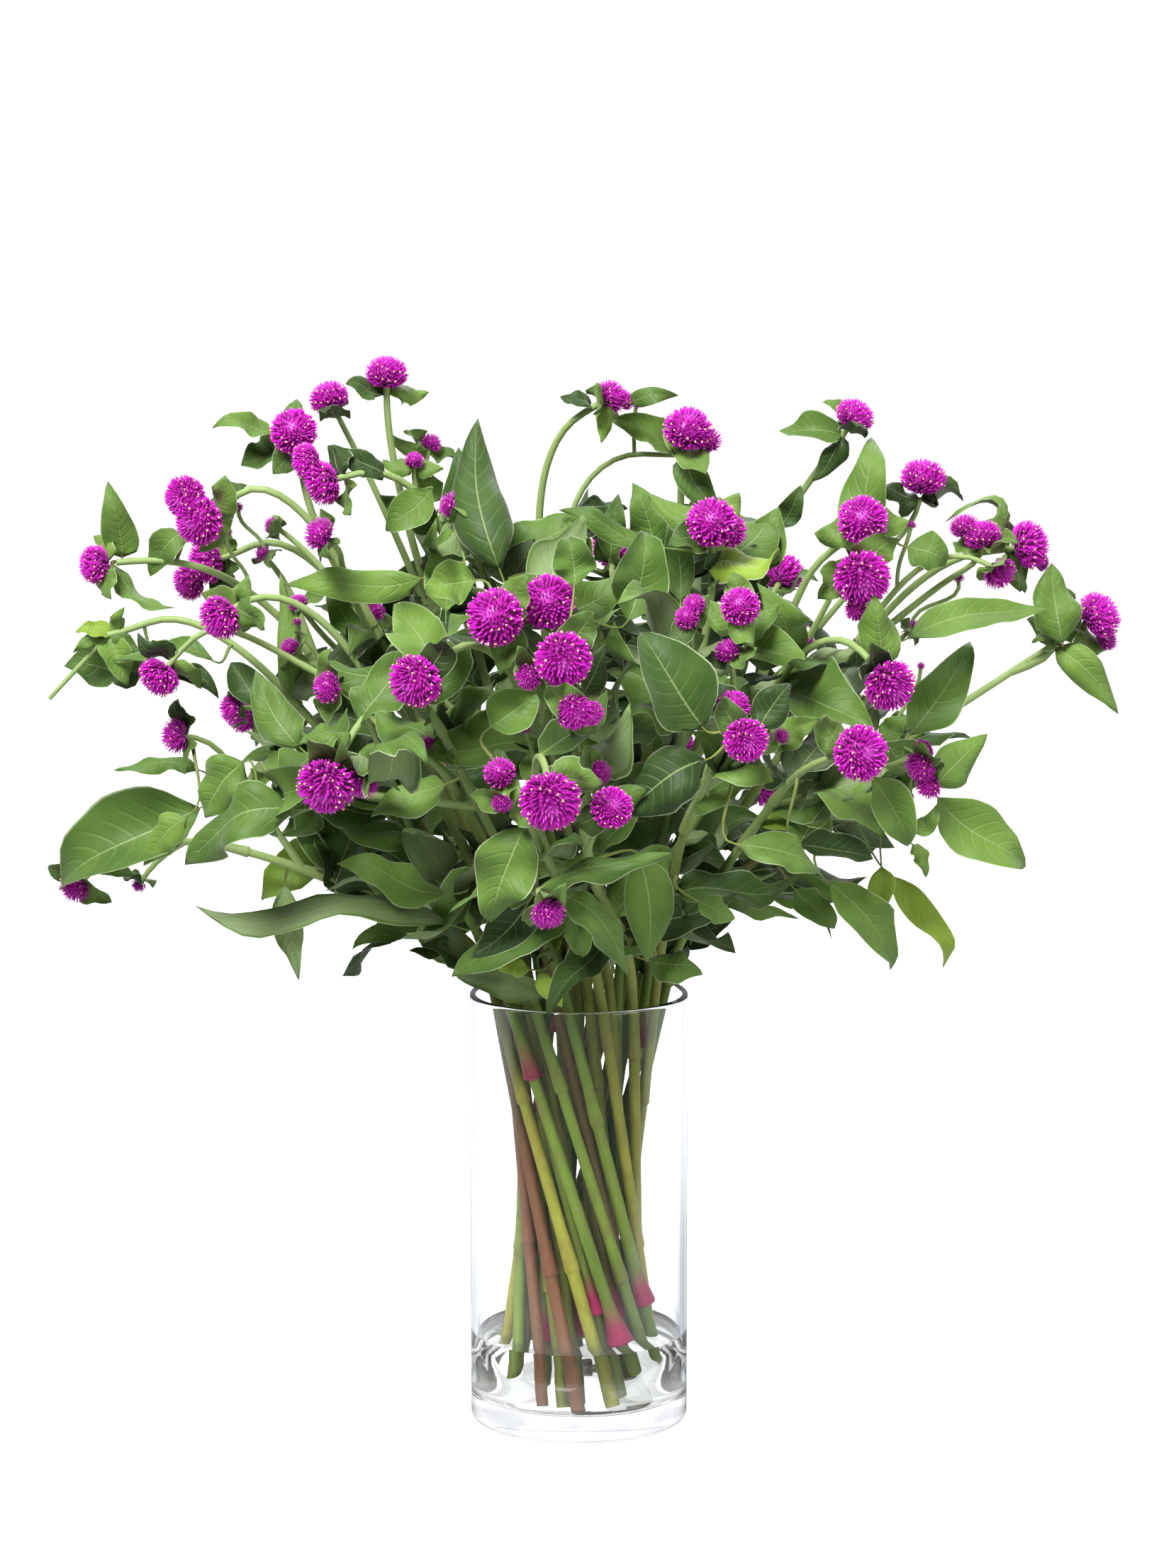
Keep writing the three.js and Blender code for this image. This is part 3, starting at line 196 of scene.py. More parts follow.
# A low tone darkens a leaf with painted shade. A tone near 1 turns it yellow-green, partly as a young leaf
# and partly as a painted glow of back light.
shownLeaves = [
    dict(foot=(-35, 392), tip=(-46, 467), layer=0.45, wide=29, face=8, bow=-0.03, tone=0.12),
    dict(foot=(-57, 402), tip=(-54, 449), layer=0.2, wide=19, face=10),
    dict(foot=(-60, 374), tip=(-58, 414), layer=0.4, wide=19, face=5),
    dict(foot=(-66, 430), tip=(-88, 412), layer=0.2, wide=18, face=20),
    dict(foot=(-70, 390), tip=(-134, 388), layer=0.3, wide=17, face=20, bow=0.08, tone=0.8),
    dict(foot=(-70, 352), tip=(-85, 380), layer=0.85, wide=22, face=10),
    dict(foot=(-46, 389), tip=(-70, 384), layer=0.7, wide=19, face=15),
    dict(foot=(-2, 386), tip=(-5, 409), layer=0.75, wide=19, face=25),
    dict(foot=(-6, 388), tip=(-4, 416), layer=0.35, wide=20, face=5),
    dict(foot=(35, 404), tip=(-8, 424), layer=0.3, wide=13, face=40),
    dict(foot=(14, 398), tip=(18, 428), layer=0.1, wide=13, face=0),
    dict(foot=(34, 398), tip=(24, 433), layer=0.15, wide=19, face=0),
    dict(foot=(22, 370), tip=(30, 412), layer=0.6, wide=24, face=5),
    dict(foot=(46, 378), tip=(41, 422), layer=0.2, wide=14, face=0),
    dict(foot=(57, 321), tip=(28, 366), layer=0.85, wide=31, face=25, bow=0.1, tone=0.15),
    dict(foot=(58, 307), tip=(20, 282), layer=1, wide=31, face=25, bow=0.08),
    dict(foot=(-24, 277), tip=(-41, 231), layer=1, wide=27, face=15, bow=0.08),
    dict(foot=(-20, 252), tip=(42, 269), layer=0.9, wide=14, face=55),
    dict(foot=(-12, 246), tip=(26, 208), layer=0.8, wide=17, face=35, bow=0.12),
    dict(foot=(28, 262), tip=(31, 212), layer=0.55, wide=24, face=10),
    dict(foot=(32, 214), tip=(57, 208), layer=0.45, wide=18, face=45, bow=0.15),
    dict(foot=(-18, 210), tip=(-7, 192), layer=0.42, wide=11, face=25, bow=0.2, tone=0.97),
    dict(foot=(-22, 210), tip=(-42, 218), layer=0.4, wide=11, face=45, tone=0.97),
    dict(foot=(-56, 230), tip=(-175, 236), layer=0.45, wide=24, face=60, bow=0.08, turned=True),
    dict(foot=(-64, 226), tip=(-104, 221), layer=0.1, wide=15, face=60),
    dict(foot=(-128, 284), tip=(-184, 261), layer=0.65, wide=29, face=35, bow=0.1),
    dict(foot=(-172, 285), tip=(-238, 248), layer=0.2, wide=37, face=35, bow=0.16),
    dict(foot=(-178, 281), tip=(-200, 258), layer=0.4, wide=17, face=30),
    dict(foot=(-152, 306), tip=(-173, 280), layer=0.6, wide=28, face=30),
    dict(foot=(-172, 302), tip=(-212, 305), layer=0.1, wide=11, face=50),
    dict(foot=(-126, 312), tip=(-147, 349), layer=0.85, wide=21, face=5),
    dict(foot=(-146, 331), tip=(-158, 352), layer=0.6, wide=14, face=10),
    dict(foot=(-134, 250), tip=(-128, 206), layer=0, wide=15, face=20, turned=True),
    dict(foot=(-110, 262), tip=(-60, 245), layer=0.5, wide=22, face=50, flip=True),
    dict(foot=(-195, 350), tip=(-234, 353), layer=0.1, wide=24, face=40, bow=-0.2),
    dict(foot=(-165, 352), tip=(-212, 357), layer=0.3, wide=11, face=60),
    dict(foot=(119, 452), tip=(90, 457), layer=-0.05, wide=15, face=35, bow=0.15),
    dict(foot=(125, 396), tip=(133, 458), layer=0.35, wide=22, face=5),
    dict(foot=(148, 404), tip=(166, 396), layer=0.1, wide=20, face=30, bow=0.25),
    dict(foot=(148, 362), tip=(212, 377), layer=0.45, wide=20, face=45, bow=0.06),
    dict(foot=(219, 360), tip=(214, 397), layer=0.2, wide=24, face=5),
    dict(foot=(150, 318), tip=(178, 362), layer=0.3, wide=22, face=10),
    dict(foot=(82, 322), tip=(97, 343), layer=0.95, wide=18, face=15),
    dict(foot=(161, 294), tip=(187, 320), layer=0.5, wide=20, face=10),
    dict(foot=(163, 290), tip=(205, 258), layer=0.5, wide=27, face=25, bow=0.08),
    dict(foot=(133, 299), tip=(151, 266), layer=0.9, wide=18, face=15),
    dict(foot=(113, 251), tip=(147, 208), layer=0.5, wide=19, face=25, bow=0.1),
    dict(foot=(141, 254), tip=(169, 210), layer=0.35, wide=13, face=35, bow=0.15, tone=0.97),
    dict(foot=(138, 258), tip=(135, 236), layer=0.45, wide=13, face=15, tone=0.97),
    dict(foot=(98, 248), tip=(118, 229), layer=0.1, wide=15, face=20),
    dict(foot=(72, 268), tip=(114, 258), layer=0.8, wide=19, face=40, bow=0.1),
    dict(foot=(100, 268), tip=(136, 264), layer=0.6, wide=15, face=40),
    dict(foot=(98, 266), tip=(112, 293), layer=0.4, wide=20, face=5),
    dict(foot=(54, 242), tip=(72, 234), layer=0.6, wide=13, face=35),
    dict(foot=(82, 340), tip=(90, 310), layer=0.3, wide=18, face=10),
    dict(foot=(-40, 322), tip=(-18, 338), layer=0.7, wide=20, face=15),
    dict(foot=(-60, 296), tip=(-96, 282), layer=0.7, wide=20, face=40),
    dict(foot=(90, 412), tip=(100, 432), layer=0, wide=12, face=10),
    dict(foot=(82, 392), tip=(90, 422), layer=0.1, wide=18, face=10),
]
# Smaller leaves of the photograph that stand between the larger ones. Each grows on the stalk that passes
# its foot in the picture, so it needs no layer.
betweenLeaves = [
    dict(foot=(-64, 411), tip=(-88, 428), wide=16),
    dict(foot=(-62, 425), tip=(-74, 444), wide=12),
    dict(foot=(-70, 447), tip=(-86, 456), wide=8),
    dict(foot=(-85, 439), tip=(-109, 451), wide=12),
    dict(foot=(-138, 455), tip=(-163, 461), wide=13),
    dict(foot=(-131, 449), tip=(-152, 441), wide=20),
    dict(foot=(-166, 418), tip=(-149, 432), wide=17),
    dict(foot=(-178, 410), tip=(-194, 392), wide=15),
    dict(foot=(-206, 399), tip=(-212, 431), wide=16),
    dict(foot=(-207, 393), tip=(-181, 379), wide=12, bow=-0.25, face=70),
    dict(foot=(-151, 371), tip=(-149, 391), wide=14),
    dict(foot=(-128, 332), tip=(-134, 387), wide=13),
    dict(foot=(-101, 363), tip=(-113, 394), wide=13),
    dict(foot=(-187, 349), tip=(-163, 335), wide=12, bow=0.15),
    dict(foot=(-222, 262), tip=(-203, 253), wide=9),
    dict(foot=(-24, 244), tip=(-50, 216), wide=20),
    dict(foot=(-16, 197), tip=(-58, 208), wide=14, turned=True),
    dict(foot=(-52, 239), tip=(-130, 270), wide=26, turned=True, face=35),
    dict(foot=(-118, 268), tip=(-146, 244), wide=22, tone=0.93, back=24),
    dict(foot=(-88, 250), tip=(-121, 256), wide=18, tone=0.93, back=24),
    dict(foot=(50, 322), tip=(16, 328), wide=15, bow=0.15),
    dict(foot=(-12, 291), tip=(4, 310), wide=19, back=18),
    dict(foot=(-16, 350), tip=(-29, 373), wide=16),
    dict(foot=(2, 337), tip=(11, 358), wide=14),
    dict(foot=(22, 371), tip=(2, 393), wide=14),
    dict(foot=(28, 374), tip=(43, 379), wide=9),
    dict(foot=(-52, 312), tip=(-63, 333), wide=13),
    dict(foot=(-11, 312), tip=(-35, 320), wide=11),
    dict(foot=(5, 462), tip=(-7, 473), wide=11),
    dict(foot=(23, 469), tip=(44, 472), wide=9),
    dict(foot=(13, 467), tip=(10, 451), wide=9),
    dict(foot=(41, 448), tip=(17, 463), wide=16),
    dict(foot=(50, 443), tip=(64, 420), wide=17),
    dict(foot=(55, 403), tip=(71, 389), wide=13),
    dict(foot=(122, 460), tip=(111, 470), wide=12),
    dict(foot=(119, 452), tip=(105, 434), wide=12),
    dict(foot=(68, 364), tip=(53, 380), wide=15),
    dict(foot=(80, 363), tip=(89, 379), wide=12),
    dict(foot=(196, 402), tip=(166, 417), wide=14, bow=0.42, face=75),
    dict(foot=(196, 403), tip=(200, 384), wide=14),
    dict(foot=(217, 361), tip=(203, 371), wide=14),
    dict(foot=(221, 353), tip=(245, 328), wide=18, bow=0.12),
    dict(foot=(138, 350), tip=(134, 381), wide=20),
    dict(foot=(153, 273), tip=(163, 286), wide=9),
    dict(foot=(152, 268), tip=(160, 254), wide=9),
    dict(foot=(82, 254), tip=(122, 246), wide=13),
    dict(foot=(60, 303), tip=(76, 315), wide=12),
    dict(foot=(90, 311), tip=(107, 326), wide=15),
    dict(foot=(136, 318), tip=(149, 328), wide=12),
    dict(foot=(155, 320), tip=(170, 344), wide=17),
    dict(foot=(-215, 364), tip=(-227, 367), wide=9, tone=0.95),
    dict(foot=(-215, 366), tip=(-206, 376), wide=9),
    dict(foot=(-216, 363), tip=(-229, 356), wide=8),
    dict(foot=(-214, 362), tip=(-204, 341), wide=15),
    dict(foot=(-212, 362), tip=(-198, 355), wide=7),
]

# Small heads between the larger ones: x, z and diameter, each on a short stalk of its own
betweenHeads = [
    (-153.5, 422, 6), (-158, 411, 5), (-127, 370, 4.5), (-147, 339.5, 4.5), (26.5, 469.5, 8), (53, 432.5, 8),
    (-24.5, 321.5, 6), (-1.5, 315, 4.5), (79, 361, 4.5), (60, 317.5, 4.5), (101.5, 369, 5.5),
    (104, 361, 4.5), (171.5, 390, 6), (150, 414, 5), (155, 350, 4.5),
]

# Where the foliage is so dense that nothing shows through it: an outline in x and z, as seen
denseOutline = [(-144, 339), (-95, 372), (-72, 393), (-67, 425), (-25, 404), (-7, 422), (18, 429), (88, 418),
                (92, 382), (113, 357), (151, 346), (162, 310), (134, 267), (88, 245), (49, 213), (-53, 213),
                (-81, 227), (-130, 267), (-148, 296)]


def draw(n):
    s = math.sin(n * 12.9898 + 4.1414) * 43758.5453
    return s - math.floor(s)


def pick(span, seed):
    return span[0] + (span[1] - span[0]) * draw(seed)


def seenAt(x, z, depth):
    share = depth / -eye.y
    return Vector((x + (x - eye.x) * share, depth, z + (z - eye.z) * share))


def depthOf(x, z, layer):
    free = 1 - (x / dome["across"]) ** 2 - ((z - dome["centre"]) / dome["high"]) ** 2
    return -layer * dome["deep"] * math.sqrt(max(free, dome["least"]))


def pointing(aim, turn):
    aim, turn = math.radians(aim), math.radians(turn)
    flat = math.cos(turn)
    return Vector((flat * math.cos(aim), -math.sin(turn), flat * math.sin(aim)))


def sheafPoint(foot, z):
    share = (z - foot.z) / (vaseTop - foot.z)
    turn = math.radians(-sheaf["twist"])
    re = 1 - share + share * math.cos(turn)
    im = share * math.sin(turn)
    return Vector((foot.x * re - foot.y * im, foot.x * im + foot.y * re, z))


def rounded(points, times):
    for _ in range(times):
        cut = [points[0]]
        for i in range(len(points) - 1):
            if i > 0:
                cut.append(points[i].lerp(points[i + 1], 0.25))
            if i < len(points) - 2:
                cut.append(points[i].lerp(points[i + 1], 0.75))
        points = cut + [points[-1]]
    return points


def thinned(line, least):
    kept = [line[0]]
    for i in range(1, len(line) - 1):
        start, way = kept[-1], line[i + 1] - kept[-1]
        share = min(max((line[i] - start).dot(way) / way.length_squared, 0), 1)
        if (start + way * share - line[i]).length > least:
            kept.append(line[i])
    return kept + [line[-1]]


def along(line, share):
    steps = [(b - a).length for a, b in zip(line, line[1:])]
    left = share * sum(steps)
    for i, step in enumerate(steps):
        if left <= step or i == len(steps) - 1:
            way = (line[i + 1] - line[i]).normalized()
            return line[i] + way * min(left, step), way
        left -= step


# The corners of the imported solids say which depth, rise or turn each stalk and leaf has
def cornersOf(node):
    found = np.array([v.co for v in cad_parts[node].data.vertices]) / mm
    return np.unique(found.round(3), axis=0)


corners = {node: cornersOf(node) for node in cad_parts}


def hasCorner(node, point, reach=0.06):
    return bool((np.linalg.norm(corners[node] - np.array(point), axis=1) < reach).any())


def ringShare(node, line, radii, reach=0.03):
    found = 0
    for point, radius in zip(line[1:], radii[1:]):
        far = np.linalg.norm(corners[node] - np.array(point), axis=1)
        found += min(3, int((abs(far - radius) < reach).sum()))
    return found / (3 * (len(line) - 1))


def stalkPlan(start, tip, shift, rise):
    centre = seenAt(tip["at"][0], tip["at"][1], depthOf(*tip["at"]) + shift)
    way = pointing(tip["aim"], tip["turn"])
    own = tip["d"] >= headSeat["ownNode"]
    reach = tip["d"] / 2 * headSeat["seat" if own else "sunk"] + (2 * gap if own else 0)
    end = centre - way * reach
    past = tip.get("past", [])
    fromY = start[-1].y
    bends = [seenAt(x, z + rise, fromY + (centre.y - fromY) * (k + 1) / (len(past) + 1))
             for k, (x, z) in enumerate(past)]
    neck = end - way * min(headSeat["neck"], (end - start[-1]).length * headSeat["neckShare"])
    return {"control": [*start, *bends, neck, end], "centre": centre, "way": way, "end": end, "own": own}


def stalkRadii(line, main):
    share = 1 if main else stemRadius["sideShare"]
    first, last = stemRadius["rim"] * share, stemRadius["tip"] * share
    radii = [first + (last - first) * k / (len(line) - 1) for k in range(len(line))]
    return [stemRadius["foot"], stemRadius["rim"], *radii[2:]] if main else radii


headNodes = sorted(node for node in corners if node.startswith("bloom"))
headsFound = []


def hasHead(node, tip, plan):
    crown = plan["centre"] + plan["way"] * (tip["d"] / 2 * headShape["squash"] * headShape["valley"])
    return tip["d"] == 0 or hasCorner(headNodes[len(headsFound)] if plan["own"] else node, crown)


def growTip(node, tip, start, foot=None):
    best = {"share": -1}
    for rise in sheaf["riseTries"]:
        for shift in sheaf["depthTries"]:
            plan = stalkPlan(start, tip, shift, rise)
            if not hasHead(node, tip, plan):
                continue
            line = thinned(rounded(plan["control"], 1), sheaf["leastBend"])
            if foot is not None:
                line = [foot, *line]
            share = ringShare(node, line, stalkRadii(line, foot is not None))
            if share > best["share"]:
                best = {**plan, "share": share, "line": line, "node": node, "tip": tip}
    if best.get("own"):
        headsFound.append(best)
    return best if "line" in best else None


def growStem(index, stem):
    node = f"stem_{index + 1:02d}"
    low = corners[node][corners[node][:, 2] < vaseTop / 2]
    foot = Vector(low.mean(axis=0))
    start = [sheafPoint(foot, vaseTop), sheafPoint(foot, vaseTop + sheaf["lead"])]
    main = growTip(node, stem["tips"][0], start, foot)
    grown = [{**main, "main": True, "foot": foot}]
    for tip in stem["tips"][1:]:
        fork = along(main["line"][1:], tip["fork"])[0]
        side = growTip(node, tip, [fork])
        if side:
            grown.append({**side, "main": False})
        else:
            print("no stalk for", node, tip["at"])
    return grown


stalks = [stalk for index, stem in enumerate(stems) for stalk in growStem(index, stem)]
print("stalks", len(stalks), "large heads", len(headsFound))


# Leaves
def newLeaf(node, root, foot, tip, up, wide, bow, seed, kind):
    return {"node": node, "root": root, "foot": foot, "tip": tip, "up": up, "wide": wide, "bow": bow,
            "phase": draw(seed + 0.3) * 2 * math.pi, "tone": leafShape["tones"] * draw(seed + 0.7),
            "loose": leafShape["shownLoose"] if kind == "shown" else 1, "seed": seed, "kind": kind}


# The table's looks of a leaf: its tone, or its pale underside turned to the viewer
def dressed(grown, leaf):
    grown["tone"] = leaf.get("tone", grown["tone"])
    if leaf.get("turned"):
        grown["up"], grown["bow"] = -grown["up"], -grown["bow"]
    if leaf.get("flip"):
        grown["foot"], grown["tip"] = grown["tip"], grown["foot"]
    return grown


def rootTable():
    points, nodes = [], []
    for stalk in stalks:
        line = stalk["line"]
        for a, b in zip(line, line[1:]):
            for k in range(leafShape["rootSteps"]):
                at = a.lerp(b, (k + 0.5) / leafShape["rootSteps"])
                if at.z > vaseTop + leafShape["bare"]:
                    points.append(at)
                    nodes.append(stalk["node"])
    return np.array(points), np.array(nodes)


rootPoints, rootNodes = rootTable()


def nearestRoot(foot, tip, node=None):
    axis = np.array((tip - foot).normalized())
    way = np.array(foot) - rootPoints
    cost = 2 * np.linalg.norm(way, axis=1) - way @ axis
    if node:
        cost = np.where(rootNodes == node, cost, np.inf)
    best = int(cost.argmin())
    return Vector(rootPoints[best]), str(rootNodes[best])


def growShownLeaf(leaf, seed):
    face = math.radians(leaf["face"])
    up = Vector((0, -math.cos(face), math.sin(face)))
    for shift in leafShape["tries"]:
        foot = seenAt(*leaf["foot"], depthOf(*leaf["foot"], leaf["layer"]) + shift)
        tip = seenAt(*leaf["tip"], depthOf(*leaf["tip"], leaf["layer"]) + shift)
        holder = [node for node in corners if hasCorner(node, tip)]
        if holder:
            root = nearestRoot(foot, tip, holder[0])[0]
            return newLeaf(holder[0], root, foot, tip, up, leaf["wide"], leaf.get("bow", 0), seed, "shown")
    foot = seenAt(*leaf["foot"], depthOf(*leaf["foot"], leaf["layer"]))
    tip = seenAt(*leaf["tip"], depthOf(*leaf["tip"], leaf["layer"]))
    root, node = nearestRoot(foot, tip)
    print("leaf", seed, "is only here")
    return newLeaf(node, root, foot, tip, up, leaf["wide"], leaf.get("bow", 0), seed, "shown")


def sideWay(way, turn, rise):
    across = Vector((0, 0, 1)).cross(way)
    base = across.normalized() if across.length_squared > 1e-4 else Vector((1, 0, 0))
    return (Quaternion(way, turn) @ base + way * rise).normalized()


def growSideLeaf(node, at, way, turn, size, seed, kind, always=False):
    for k in range(size["tries"]):
        swing = turn + math.radians(size["step"] * math.ceil(k / 2)) * (1 if k % 2 else -1)
        long = size["long"] * (1 if k < size["tries"] / 2 else size["shorter"])
        tip = at + sideWay(way, swing, size["rise"]) * long
        if hasCorner(node, tip):
            return [newLeaf(node, None, at, tip, way, long * size["wideShare"], size["bow"], seed, kind)]
    if not always:
        return []
    tip = at + sideWay(way, turn, size["rise"]) * size["long"]
    return [newLeaf(node, None, at, tip, way, size["long"] * size["wideShare"], size["bow"], seed, kind)]


def growCollar(stalk, seed):
    at = stalk["line"][-1] - stalk["way"] * collar["below"]
    size = {**collar, "long": collar["long"] + collar["perBloom"] * stalk["tip"]["d"]}
    grown = []
    for m in range(2):
        turn = m * math.pi + draw(seed) * collar["swing"]
        grown += growSideLeaf(stalk["node"], at, stalk["way"], turn, size, seed + m, "bract", True)
    for n, leaf in enumerate(grown):
        share = collar["toViewer"] * (collar["leastToViewer"] + draw(seed + n * 0.7))
        leaf["up"] = (leaf["up"] + upToViewer * share).normalized()
        leaf["wide"] *= collar["broad"]
    return grown


def growPairs(stalk, seed, count):
    found = []
    for n in range(count):
        at, way = along(stalk["line"][1:], pairs["at"][n])
        for m in range(2):
            turn = m * math.pi + n * math.pi / 2 + draw(seed + n) * pairs["swing"]
            long = pairs["long"][n] * (1 + pairs["vary"] * (draw(seed + n + m * 0.5) - 0.5))
            bow = pairs["bow"][0] + pairs["bow"][1] * draw(seed + n + m + 0.2)
            size = {**pairs, "long": long, "bow": bow}
            found += growSideLeaf(stalk["node"], at, way, turn, size, seed + n * 7 + m, "pair")
    return found


leaves = [dressed(growShownLeaf(leaf, n), leaf) for n, leaf in enumerate(shownLeaves)]
for n, stalk in enumerate(stalks):
    if stalk["tip"]["d"]:
        leaves += growCollar(stalk, n * 3)
mains = [stalk for stalk in stalks if stalk["main"]]
for n, (stem, stalk) in enumerate(zip(stems, mains)):
    leaves += growPairs(stalk, n * 31, pairs["behind" if stem.get("behind") else "front"])
print("leaves", len(leaves))


# More leaves and heads, each on the stalk that passes it in the picture. Then leaves fill the dense part
# until little shows through it. The part is a set of square cells in the picture, and a leaf is taken if
# enough of its cells are still free.
dense = {"cell": 4, "columns": 5, "rows": 9, "tries": 9000, "most": 420, "seed": 1000, "seedStep": 1.37,
         "fresh": 0.2, "least": 0.06, "enough": 0.006, "within": 0.86, "covers": 0.6, "aimedFrom": 0.5,
         "nearer": -0.1, "offSide": (-24, 24), "offBelow": (-34, -6), "pastFree": 1.6, "long": (26, 60),
         "wideShare": (0.42, 0.58), "rise": (0.1, 0.9), "lean": 0.004, "bow": (-0.14, 0.1), "toViewer": 1.2,
         "turned": 0.3, "youngAndBacklit": 0.08, "paintedShadeDepth": 70, "paintedShadeNearTone": 0.25}
between = {"nearer": 0.03, "lean": -0.25, "faceSpan": 1.0, "stalkDrop": 24, "stalkIn": 0.94, "headForward": 4,
           "backTries": (0, 8, 16, 24, 32, 40)}


def asSeen(point):
    share = -eye.y / (point[1] - eye.y)
    return eye.x + (point[0] - eye.x) * share, eye.z + (point[2] - eye.z) * share


shareSeen = -eye.y / (rootPoints[:, 1] - eye.y)
rootSeen = np.stack([eye.x + (rootPoints[:, 0] - eye.x) * shareSeen,
                     eye.z + (rootPoints[:, 2] - eye.z) * shareSeen], axis=1)


def rootPassing(x, z, nearer):
    off = np.hypot(rootSeen[:, 0] - x, rootSeen[:, 1] - z)
    best = int((off + nearer * rootPoints[:, 1]).argmin())
    return Vector(rootPoints[best]), str(rootNodes[best])


def cellsOf(leaf, sure=0.7):
    foot, tip = leaf["foot"], leaf["tip"]
    axis = tip - foot
    side = axis.cross(leaf["up"]).normalized()
    cells = set()
    for k in range(1, dense["rows"]):
        t = k / dense["rows"]
        half = sure * leaf["wide"] / 2 * math.sin(math.pi * t ** leafShape["swell"]) ** leafShape["power"]
        for m in range(dense["columns"]):
            x, z = asSeen(foot + axis * t + side * (half * (2 * m / (dense["columns"] - 1) - 1)))
            cells.add((round(x / dense["cell"]), round(z / dense["cell"])))
    return cells


# Leaves that aren't in the solids stay out of the view of the heads
headsSeen = [(*asSeen(stalk["centre"]), stalk["centre"].y, stalk["tip"]["d"] / 2) for stalk in stalks
             if stalk["tip"]["d"]]


def hidesHead(leaf):
    near = min(leaf["foot"].y, leaf["tip"].y)
    cell = dense["cell"]
    cells = cellsOf(leaf)
    return any(near < depth + radius and any(math.dist((i * cell, k * cell), (x, z)) < radius
                                             for i, k in cells)
               for x, z, depth, radius in headsSeen)


def growBetween(leaf, seed):
    root, node = rootPassing(*leaf["foot"], between["nearer"])
    long = math.dist(leaf["foot"], leaf["tip"])
    face = math.radians(leaf["face"]) if "face" in leaf else between["faceSpan"] * draw(seed + 0.6)
    up = Vector((0, -math.cos(face), math.sin(face)))
    for back in between["backTries"]:
        depth = root.y + leaf.get("back", 0) + back
        foot = seenAt(*leaf["foot"], depth)
        tip = seenAt(*leaf["tip"], depth + between["lean"] * long)
        grown = newLeaf(node, root, foot, tip, up, leaf["wide"], leaf.get("bow", 0), seed, "bract")
        if not hidesHead(dressed(grown, leaf)):
            break
    return grown


leaves += [growBetween(leaf, 500 + n) for n, leaf in enumerate(betweenLeaves)]

buds = []
for n, (x, z, d) in enumerate(betweenHeads):
    root, node = rootPassing(eye.x + (x - eye.x) * between["stalkIn"], z - between["stalkDrop"],
                             between["nearer"])
    centre = seenAt(x, z, root.y - between["headForward"])
    buds.append({"node": node, "root": root, "centre": centre, "d": d, "seed": 40 + n})


def insideOutline(x, z):
    inside = False
    for (ax, az), (bx, bz) in zip(denseOutline, denseOutline[1:] + denseOutline[:1]):
        if (az > z) != (bz > z) and x < ax + (bx - ax) * (z - az) / (bz - az):
            inside = not inside
    return inside


# A leaf at a free cell, or with no cell given one that grows anywhere in the dense part
def fillLeaf(points, nodes, seed, cell):
    low, high = dense["long"]
    long = low + (high - low) * draw(seed + 0.1)
    toViewer = upToViewer * dense["toViewer"]
    up = (Vector((0, 0, 1)) * draw(seed + 0.5) + toViewer * draw(seed + 0.6)).normalized()
    if cell:
        x, z = (dense["cell"] * place for place in cell)
        besideX, belowZ = x + pick(dense["offSide"], seed + 1.2), z + pick(dense["offBelow"], seed + 1.3)
        at, node = rootPassing(besideX, belowZ, dense["nearer"])
        way = seenAt(x, z, at.y) - at
        long = min(max(long, dense["pastFree"] * way.length), high)
        way.normalize()
    else:
        spot = int(draw(seed) * len(points))
        at, node = Vector(points[spot]), str(nodes[spot])
        stalkWay = Vector((at.x * dense["lean"], 0, 1)).normalized()
        way = sideWay(stalkWay, draw(seed + 0.4) * 2 * math.pi, pick(dense["rise"], seed + 0.3))
    wide = long * pick(dense["wideShare"], seed + 0.2)
    if draw(seed + 0.9) < dense["turned"]:
        up = -up
    return newLeaf(node, None, at, at + way * long, up, wide, pick(dense["bow"], seed + 0.7), seed, "fill")


def cellsInside(outline, cell):
    spans = [range(int(min(places) / cell) - 1, int(max(places) / cell) + 2) for places in zip(*outline)]
    return {(i, k) for i in spans[0] for k in spans[1] if insideOutline(i * cell, k * cell)}


def fillDense():
    whole = cellsInside(denseOutline, dense["cell"])
    free = whole.difference(*(cellsOf(leaf, dense["covers"]) for leaf in leaves))
    inside = np.array([insideOutline(x, z) for x, z in rootSeen])
    points, nodes = rootPoints[inside], rootNodes[inside]
    found = []
    for n in range(dense["tries"]):
        if len(free) < dense["enough"] * len(whole) or len(found) >= dense["most"]:
            break
        seed = dense["seed"] + n * dense["seedStep"]
        aimed = n % 2 and n > dense["aimedFrom"] * dense["tries"]
        cell = sorted(free)[int(draw(seed + 1.1) * len(free))] if aimed else None
        leaf = fillLeaf(points, nodes, seed, cell)
        cells = cellsOf(leaf, dense["covers"])
        least = max(dense["fresh"] * (1 - n / dense["tries"]), dense["least"])
        if (len(cells & whole) < dense["within"] * len(cells) or len(cells & free) < least * len(cells)
                or hidesHead(leaf)):
            continue
        # Fill leaves further back get a lower tone and so a darker colour: painted shade
        leaf["tone"] *= min(max(dense["paintedShadeNearTone"] - leaf["foot"].y / dense["paintedShadeDepth"], 0), 1)
        # A few fill leaves get that yellow-green, partly young leaves and partly painted back light
        if draw(seed + 0.8) < dense["youngAndBacklit"]:
            leaf["tone"] = 1
        free -= cells
        found.append(leaf)
    print("open share", round(len(free) / len(whole), 3), "after", len(found), "leaves and", n, "tries")
    return found


leaves += fillDense()


# Shader helpers
def newGroup(name, inputs, outputs):
    group = bpy.data.node_groups.new(name, "ShaderNodeTree")
    for label, kind in inputs:
        group.interface.new_socket(name=label, in_out="INPUT", socket_type=kind)
    for label, kind in outputs:
        group.interface.new_socket(name=label, in_out="OUTPUT", socket_type=kind)
    return group, group.nodes.new("NodeGroupInput"), group.nodes.new("NodeGroupOutput")


def link(tree, source, target):
    tree.links.new(source, target)


